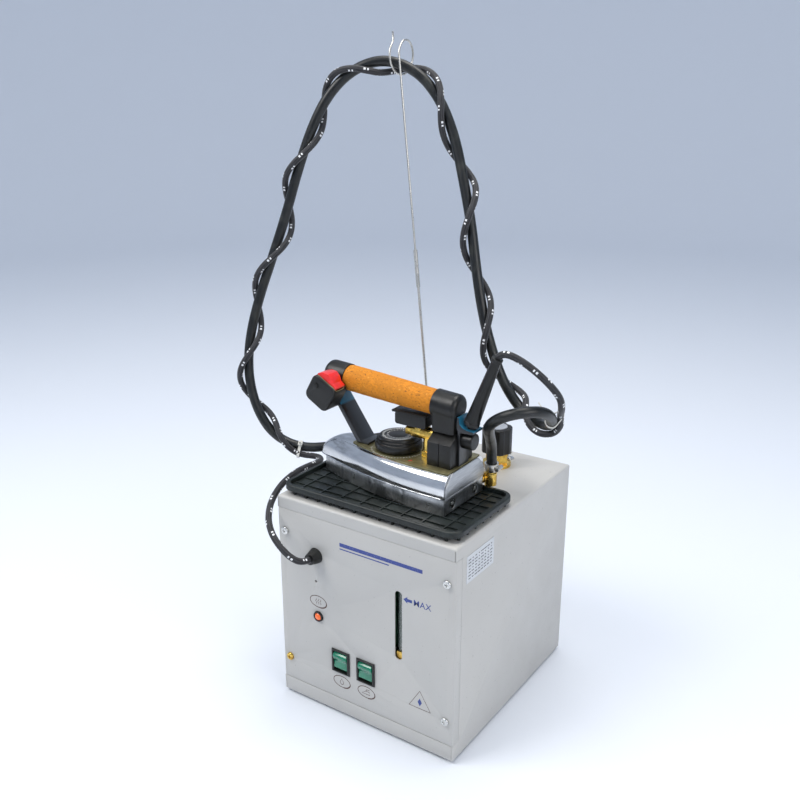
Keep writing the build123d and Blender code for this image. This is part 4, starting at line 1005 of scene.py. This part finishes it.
def finish_iron(settings):
    rounded_copy("soleplate", "sole_aluminium", "sole_aluminium", 0.5 * MM, 2)
    rounded_copy("heel_plate", "satin_aluminium", "polished_aluminium", 0.5 * MM, 3)
    rounded_copy("top_plate", "plate_brass", "polished_aluminium", 0.25 * MM, 2)
    for node in ("heel_screws", "thermostat_body", "handle_core"):
        paint_node(node, "screw_steel")
    for node, width in (("front_handle_cap", 0.5), ("rear_handle_cap", 0.8), ("terminal_box", 0.5),
                        ("switch_housing", 0.6), ("solenoid_coil", 0.5), ("cable_clamp", 0.5),
                        ("cable_boot", 0.35)):
        rounded_copy(node, "plastic_black", "plastic_black", width * MM, 3)
    paint_node("microswitch", "plastic_black")
    rounded_copy("steam_button", "button_red", "button_red", 0.9 * MM, 3)
    button_rim_painted_highlight()
    rounded_copy("front_bracket", "bracket_blue", "bracket_blue", 0.35 * MM, 2)
    rounded_copy("rear_bracket", "bracket_blue", "bracket_blue", 0.35 * MM, 2)
    rounded_copy("solenoid_valve", "brass", "brass", 0.35 * MM, 2)
    rounded_copy("hose_elbow", "brass", "brass", 0.35 * MM, 2)
    rounded_copy("hose_clamp", "spring_steel", "spring_steel", 0.2 * MM, 2)


def button_rim_painted_highlight():
    """Painted highlight: a khaki line round the steam button's well, over the housing's rounded ends, for the
    warm light caught on the housing's rim.
    """
    low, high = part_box("switch_housing")
    middle = centre("switch_housing")
    middle.y = high.y - 11.4 * MM
    lean, flat, round_r, top = math.radians(30), 9.5, 8.0, 17.1
    path = []
    for step in range(49):
        angle = 2 * math.pi * step / 48
        x = 15.4 * math.copysign(abs(math.cos(angle)) ** 0.35, math.cos(angle))
        y = 9.4 * math.copysign(abs(math.sin(angle)) ** 0.35, math.sin(angle))
        beyond = max(0.0, abs(x) - flat)
        z = top - round_r + math.sqrt(round_r ** 2 - beyond ** 2)
        path.append(Vector((middle.x + (x * math.cos(lean) + z * math.sin(lean)) * MM, middle.y + y * MM,
                            middle.z + (z * math.cos(lean) - x * math.sin(lean)) * MM)))
    # painted highlight as a thin khaki tube along the rim
    line = tube("button_rim_painted_highlight", path, [0.55 * MM] * len(path), 8, "khaki_painted_highlight")
    settle_on(line, "iron", "plastic_black")


def thermostat_dial(tree, count):
    """Dial turned from satin plastic, with a ring of marks and a stepped rim."""
    low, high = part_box("thermostat_dial")
    middle = centre("thermostat_dial")
    start, end = Vector((middle.x, middle.y, low.z)), Vector((middle.x, middle.y, high.z))
    rows = [(0.0, 25.8), (0.3, 26.6), (1.0, 27.0), (6.4, 27.0), (7.4, 26.6), (7.9, 25.6), (8.2, 24.9),
            (8.7, 24.6), (10.6, 24.3), (11.2, 23.6), (11.6, 22.8), (13.6, 22.3), (14.2, 21.9), (14.5, 21.0),
            (14.5, 14.6), (14.2, 14.2), (14.2, 9.0), (14.45, 8.6), (14.45, 0.6)]
    total = (high.z - low.z) / MM
    profile = [(height / total, radius * MM) for height, radius in rows]
    dial = turned("dial_knob", start, end, profile, "plastic_black", 96, 40)
    settle_on(dial, "dial", "plastic_black", "thermostat_dial")
    above = Matrix.Translation((middle.x, middle.y, high.z + 0.02 * MM))
    ring = {"Count": count, "Radius": 17.6 * MM, "Length": 4.2 * MM, "Width": 1.1 * MM,
            "Height": 0.16 * MM, "Uneven": 0.75, "Seed": 4}
    settle_on(grow("dial_marks", tree, ring, "ink_pale", above), "dial", "plastic_black")
    inner = dict(ring, Count=count // 2, Radius=12.6 * MM, Length=2.2 * MM, Uneven=0.6, Seed=9)
    settle_on(grow("dial_inner_marks", tree, inner, "ink_pale", above), "dial", "plastic_black")
    teeth = {"Count": 60, "Radius": 24.55 * MM, "Length": 0.9 * MM, "Width": 0.9 * MM, "Height": 1.7 * MM}
    rim = Matrix.Translation((middle.x, middle.y, low.z + 9.9 * MM))
    settle_on(grow("dial_teeth", tree, teeth, "plastic_black", rim), "dial", "plastic_black")
    scale = {"Count": 26, "Radius": 31.0 * MM, "Length": 2.6 * MM, "Width": 0.6 * MM, "Height": 0.06 * MM,
             "First": math.radians(-150), "Span": math.radians(160), "Uneven": 0.5, "Seed": 2}
    plate = Matrix.Translation((middle.x, middle.y, PLATE_TOP + 0.03 * MM))
    settle_on(grow("plate_scale", tree, scale, "ink_pale", plate), "iron", "polished_aluminium")
    red = {"Count": 2, "Radius": 40.6 * MM, "Length": 1.5 * MM, "Width": 2.4 * MM, "Height": 0.08 * MM,
           "First": math.radians(-39.0), "Span": math.radians(5)}
    settle_on(grow("plate_red_marks", tree, red, "ink_red", plate), "iron", "polished_aluminium")


# ---------------------------------------------------------------- hose, cable and ties
def spline_line(name, route):
    """Points along the smooth line of a route, evenly spaced, read from its NURBS spline."""
    curve = bpy.data.curves.new(name, "CURVE")
    curve.dimensions = "3D"
    curve.resolution_u = 16
    spline = curve.splines.new("NURBS")
    spline.points.add(len(route) - 1)
    for point, spot in zip(spline.points, route):
        point.co = (*spot, 1.0)
    spline.order_u = 3
    spline.use_endpoint_u = True
    holder = bpy.data.objects.new(name, curve)
    bpy.context.scene.collection.objects.link(holder)
    graph = bpy.context.evaluated_depsgraph_get()
    graph.update()
    mesh = bpy.data.meshes.new_from_object(holder.evaluated_get(graph))
    line = np.array([vertex.co for vertex in mesh.vertices])
    bpy.data.objects.remove(holder)
    return line


def walked(line):
    """Distance walked along a line at each of its points."""
    steps = np.linalg.norm(np.diff(line, axis=0), axis=1)
    return np.concatenate(([0.0], np.cumsum(steps)))


def even_line(line, spacing):
    """The same line with points a given distance apart."""
    far = walked(line)
    spots = np.linspace(0.0, far[-1], max(8, int(far[-1] / spacing)))
    return np.stack([np.interp(spots, far, line[:, axis]) for axis in range(3)], axis=1)


def metres(route):
    return [Vector(spot) * MM for spot in route]


def tube(name, path, radii, sides, material):
    """Closed tube along a path, with U once round and V in metres along it."""
    path = [Vector(spot) for spot in path]
    count = len(path)
    along = [(path[min(i + 1, count - 1)] - path[max(i - 1, 0)]).normalized() for i in range(count)]
    across = along[0].orthogonal().normalized()
    points, reach = [], 0.0
    reaches = []
    for i, spot in enumerate(path):
        if i:
            across = along[i - 1].rotation_difference(along[i]) @ across
            reach += (spot - path[i - 1]).length
        across = (across - along[i] * across.dot(along[i])).normalized()
        other = along[i].cross(across)
        reaches.append(reach)
        for side in range(sides):
            angle = 2 * math.pi * side / sides
            points.append(spot + (across * math.cos(angle) + other * math.sin(angle)) * radii[i])
    faces = []
    for row in range(count - 1):
        for side in range(sides):
            ahead = (side + 1) % sides
            faces.append([row * sides + side, row * sides + ahead,
                          (row + 1) * sides + ahead, (row + 1) * sides + side])
    faces.append(list(reversed(range(sides))))
    faces.append([(count - 1) * sides + side for side in range(sides)])
    mesh = bpy.data.meshes.new(name)
    mesh.from_pydata(points, [], faces)
    layer = mesh.uv_layers.new(name="lay")
    for polygon in mesh.polygons:
        quad = polygon.index < (count - 1) * sides
        for corner, loop in enumerate(polygon.loop_indices):
            row, side = divmod(polygon.index, sides) if quad else (0, corner)
            turned_on = 1 if quad and corner in (1, 2) else 0
            row_on = 1 if quad and corner in (2, 3) else 0
            layer.data[loop].uv = ((side + turned_on) / sides, reaches[min(row + row_on, count - 1)])
    mesh.materials.append(MATERIALS[material])
    obj = bpy.data.objects.new(name, mesh)
    bpy.context.scene.collection.objects.link(obj)
    mesh.shade_smooth()
    mesh.set_sharp_from_angle(angle=math.radians(50))
    return obj


class Hose:
    """The hose's line, with its place and direction at any share of its length."""

    def __init__(self):
        self.line = even_line(spline_line("hose_line", metres(HOSE_ROUTE)), 2.5 * MM)
        self.far = walked(self.line)

    def spot(self, share):
        return Vector([np.interp(share * self.far[-1], self.far, self.line[:, axis]) for axis in range(3)])

    def heading(self, share):
        step = 0.002
        return (self.spot(min(1, share + step)) - self.spot(max(0, share - step))).normalized()

    def beside(self, share, radius):
        """Centre of the cable beside the hose."""
        part = (share - TWIST_FROM) / (TWIST_TO - TWIST_FROM)
        angle = TWIST_PHASE + 2 * math.pi * TWIST_TURNS * part
        radius += SLACK * math.sin(math.pi * SLACK_WAVES * part) ** 2
        along = self.heading(share)
        side = (SIDE_ON - along * SIDE_ON.dot(along)).normalized()
        other = along.cross(side)
        return self.spot(share) + side * (radius * math.cos(angle)) + other * (radius * math.sin(angle))


def follow_iron(obj):
    """Bake the tube's place into its mesh."""
    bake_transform(obj)


def hose_and_cable(settings):
    hose = Hose()
    sides = 24
    body = tube("hose_body", hose.line, [settings.hose_width / 2] * len(hose.line), sides, "hose_rubber")
    follow_iron(body)
    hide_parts("steam_hose")

    count = round(TWIST_TURNS * POINTS_PER_TURN)
    turns = []
    for step in range(count + 1):
        share = TWIST_FROM + (TWIST_TO - TWIST_FROM) * step / count
        turns.append(hose.beside(share, settings.twist_radius))
    route = metres(CABLE_START) + turns + metres(CABLE_END)
    line = even_line(spline_line("cable_line", route), 2.0 * MM)
    cable = tube("cable_body", line, [settings.cable_width / 2] * len(line), 18, "cable_braid")
    follow_iron(cable)
    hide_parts("iron_cable")
    for name, share, tail in (("left_tie", TWIST_FROM, 9 * MM), ("right_tie", TWIST_TO, 17 * MM)):
        zip_tie(name, hose, share, settings, tail)
    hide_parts("zip_ties")


def zip_tie(name, hose, share, settings, tail):
    """Nylon strap drawn round hose and cable, with its head and cut tail."""
    middle, mate = hose.spot(share), hose.beside(share, settings.twist_radius * 0.93)
    along = hose.heading(share)
    toward = (mate - middle).normalized()
    other = along.cross(toward).normalized()
    hose_r, cable_r = settings.hose_width / 2 + 0.5 * MM, settings.cable_width / 2 + 0.5 * MM
    span = (mate - middle).length
    lean = math.asin((hose_r - cable_r) / span)
    loop = []
    steps = 18
    for step in range(steps + 1):
        angle = math.pi / 2 - lean + (math.pi + 2 * lean) * step / steps
        loop.append(middle + toward * (hose_r * math.cos(angle)) + other * (hose_r * math.sin(angle)))
    for step in range(steps + 1):
        angle = -math.pi / 2 - lean + (math.pi + 2 * lean) * step / steps
        loop.append(mate + toward * (cable_r * math.cos(angle)) + other * (cable_r * math.sin(angle)))
    half_wide, thick = 1.7 * MM, 1.0 * MM
    hub = (middle + mate) / 2
    points, faces = [], []
    for spot in loop:
        out = (spot - hub - along * (spot - hub).dot(along)).normalized()
        for grow_by, slide in ((0, -1), (1, -1), (1, 1), (0, 1)):
            points.append(spot + out * (thick * grow_by) + along * (half_wide * slide))
    count = len(loop)
    for i in range(count):
        for k in range(4):
            a, b = i * 4 + k, i * 4 + (k + 1) % 4
            c, d = ((i + 1) % count) * 4 + (k + 1) % 4, ((i + 1) % count) * 4 + k
            faces.append([a, b, c, d])
    head = middle + other * (hose_r + 1.6 * MM)
    for box_mid, box_half in ((head, (2.6 * MM, 2.0 * MM, 2.6 * MM)),
                              (head + other * (tail / 2), (0.5 * MM, tail / 2, 1.5 * MM))):
        first = len(points)
        for sx in (-1, 1):
            for sy in (-1, 1):
                for sz in (-1, 1):
                    bend = toward * (tail * 0.12 if sy > 0 and box_half[0] < MM else 0.0)
                    points.append(box_mid + toward * (sx * box_half[0]) + other * (sy * box_half[1])
                                  + along * (sz * box_half[2]) + bend)
        for quad in ((0, 1, 3, 2), (4, 6, 7, 5), (0, 4, 5, 1), (2, 3, 7, 6), (0, 2, 6, 4), (1, 5, 7, 3)):
            faces.append([first + corner for corner in quad])
    tie = mesh_object(name, points, faces, "tie_white", sharp=40)
    return settle_on(tie, "cabinet", "tie_white")


# ---------------------------------------------------------------- stage
CAMERA_PLACE = Vector((0.5490, -0.8691, 0.7128))
CAMERA_RIGHT = Vector((0.8269, 0.5624, 0.0))
CAMERA_UP = Vector((-0.1807, 0.2658, 0.9470))


def area_light(name, place, target, size, power, color=(1, 1, 1)):
    light = bpy.data.lights.new(name, "AREA")
    light.shape = "RECTANGLE"
    light.size, light.size_y = size
    light.energy = power
    light.color = color
    holder = bpy.data.objects.new(name, light)
    holder.location = place
    holder.rotation_euler = (Vector(target) - Vector(place)).to_track_quat("-Z", "Y").to_euler()
    bpy.context.scene.collection.objects.link(holder)


def make_stage(settings):
    flat, bend, wall, sides = 3.4, 1.6, 5.0, 96
    profile = [(flat, 0.0)]
    profile += [(flat + bend * math.sin(math.radians(a)), bend - bend * math.cos(math.radians(a)))
                for a in range(6, 91, 6)]
    profile.append((flat + bend, wall))
    points = [(r * math.cos(2 * math.pi * i / sides), r * math.sin(2 * math.pi * i / sides), z)
              for r, z in profile for i in range(sides)]
    faces = [list(range(sides))]
    for row in range(len(profile) - 1):
        for i in range(sides):
            ahead = (i + 1) % sides
            low, high = row * sides, (row + 1) * sides
            faces.append([low + i, high + i, high + ahead, low + ahead])
    mesh = bpy.data.meshes.new("floor")
    mesh.from_pydata(points, [], faces)
    mesh.polygons.foreach_set("use_smooth", [True] * len(faces))
    mesh.materials.append(stage_floor(tuple(settings.floor)))
    floor = bpy.data.objects.new("floor", mesh)
    bpy.context.scene.collection.objects.link(floor)

    world = bpy.data.worlds.new("studio")
    world.use_nodes = True
    world.node_tree.nodes["Background"].inputs["Color"].default_value = (0.72, 0.80, 0.93, 1)
    world.node_tree.nodes["Background"].inputs["Strength"].default_value = 0.75
    bpy.context.scene.world = world
    bpy.context.scene.view_settings.view_transform = "Standard"
    area_light("key", (-0.9, -1.1, 1.9), (0, 0, 0.25), (1.1, 1.1), 26, (1.0, 0.98, 0.95))
    area_light("fill", (1.7, -0.5, 1.0), (0, 0, 0.2), (1.4, 1.0), 12, (1.0, 0.97, 0.93))
    area_light("top", (0.1, 0.3, 2.1), (0, 0, 0.2), (1.3, 1.0), 20, (1.0, 0.97, 0.92))

    camera = bpy.data.cameras.new("camera")
    camera.lens = settings.lens
    camera.sensor_width = 36.0
    camera.clip_start = 0.02
    holder = bpy.data.objects.new("camera", camera)
    back = CAMERA_RIGHT.cross(CAMERA_UP)
    turn = Matrix((CAMERA_RIGHT, CAMERA_UP, back)).transposed().to_4x4()
    holder.matrix_world = Matrix.Translation(CAMERA_PLACE) @ turn
    bpy.context.scene.collection.objects.link(holder)
    bpy.context.scene.camera = holder


# ---------------------------------------------------------------- operators
def settings_of(context, name):
    return getattr(context.scene, "steam_iron_" + name)


class STEAMIRON_OT_materials(bpy.types.Operator):
    """Make every finish"""
    bl_idname = "steam_iron.materials"
    bl_label = "Materials"

    def execute(self, context):
        MATERIALS.update(make_materials(settings_of(context, "cabinet"), settings_of(context, "iron"),
                                        settings_of(context, "cord")))
        return {"FINISHED"}


class STEAMIRON_OT_cabinet(bpy.types.Operator):
    """Finish the cabinet, its fittings, the boiler, the antenna and the iron rest"""
    bl_idname = "steam_iron.cabinet"
    bl_label = "Cabinet"

    def execute(self, context):
        finish_cabinet(settings_of(context, "cabinet"))
        return {"FINISHED"}


class STEAMIRON_OT_switches(bpy.types.Operator):
    """Make the paddles of the two rocker switches"""
    bl_idname = "steam_iron.switches"
    bl_label = "Rocker switches"

    def execute(self, context):
        for side in ("left", "right"):
            rocker_paddle(side)
        return {"FINISHED"}


class STEAMIRON_OT_prints(bpy.types.Operator):
    """Print the front panel and the rating plate"""
    bl_idname = "steam_iron.prints"
    bl_label = "Prints"

    def execute(self, context):
        panel_prints()
        label_lines(rows_tree())
        return {"FINISHED"}


class STEAMIRON_OT_iron(bpy.types.Operator):
    """Finish the iron's castings, controls and handle"""
    bl_idname = "steam_iron.iron"
    bl_label = "Iron"

    def execute(self, context):
        settings = settings_of(context, "iron")
        finish_iron(settings)
        iron_shell()
        seam_bead()
        cork_grip()
        thermostat_dial(ring_tree(), settings.dial_marks)
        return {"FINISHED"}


class STEAMIRON_OT_cords(bpy.types.Operator):
    """Lay the steam hose, the braided cable twisted round it, and their ties"""
    bl_idname = "steam_iron.cords"
    bl_label = "Hose and cable"

    def execute(self, context):
        hose_and_cable(settings_of(context, "cord"))
        return {"FINISHED"}


class STEAMIRON_OT_stage(bpy.types.Operator):
    """Set the floor, the lights and the camera"""
    bl_idname = "steam_iron.stage"
    bl_label = "Stage"

    def execute(self, context):
        make_stage(settings_of(context, "stage"))
        return {"FINISHED"}


OPERATORS = (STEAMIRON_OT_materials, STEAMIRON_OT_cabinet, STEAMIRON_OT_switches, STEAMIRON_OT_prints,
             STEAMIRON_OT_iron, STEAMIRON_OT_cords, STEAMIRON_OT_stage)
SETTINGS = {"cabinet": CabinetSettings, "iron": IronSettings, "cord": CordSettings, "stage": StageSettings}


class STEAMIRON_PT_panel(bpy.types.Panel):
    """Sidebar panel with the settings and the pieces"""
    bl_idname = "STEAMIRON_PT_panel"
    bl_label = "Steam Generator Iron"
    bl_space_type = "VIEW_3D"
    bl_region_type = "UI"
    bl_category = "Steam Iron"

    def draw(self, context):
        for name, group in SETTINGS.items():
            box = self.layout.box()
            box.label(text=name.title())
            for key in group.__annotations__:
                box.prop(settings_of(context, name), key)
        for operator in OPERATORS:
            self.layout.operator(operator.bl_idname)


def register():
    for group in (*SETTINGS.values(), *OPERATORS, STEAMIRON_PT_panel):
        bpy.utils.register_class(group)
    for name, group in SETTINGS.items():
        setattr(bpy.types.Scene, "steam_iron_" + name, bpy.props.PointerProperty(type=group))


def unregister():
    for name in SETTINGS:
        delattr(bpy.types.Scene, "steam_iron_" + name)
    for group in reversed((*SETTINGS.values(), *OPERATORS, STEAMIRON_PT_panel)):
        bpy.utils.unregister_class(group)


def main():
    register()
    for operator in OPERATORS:
        action = getattr(bpy.ops.steam_iron, operator.bl_idname.split(".")[1])
        action()


if __name__ == "__main__":
    main()
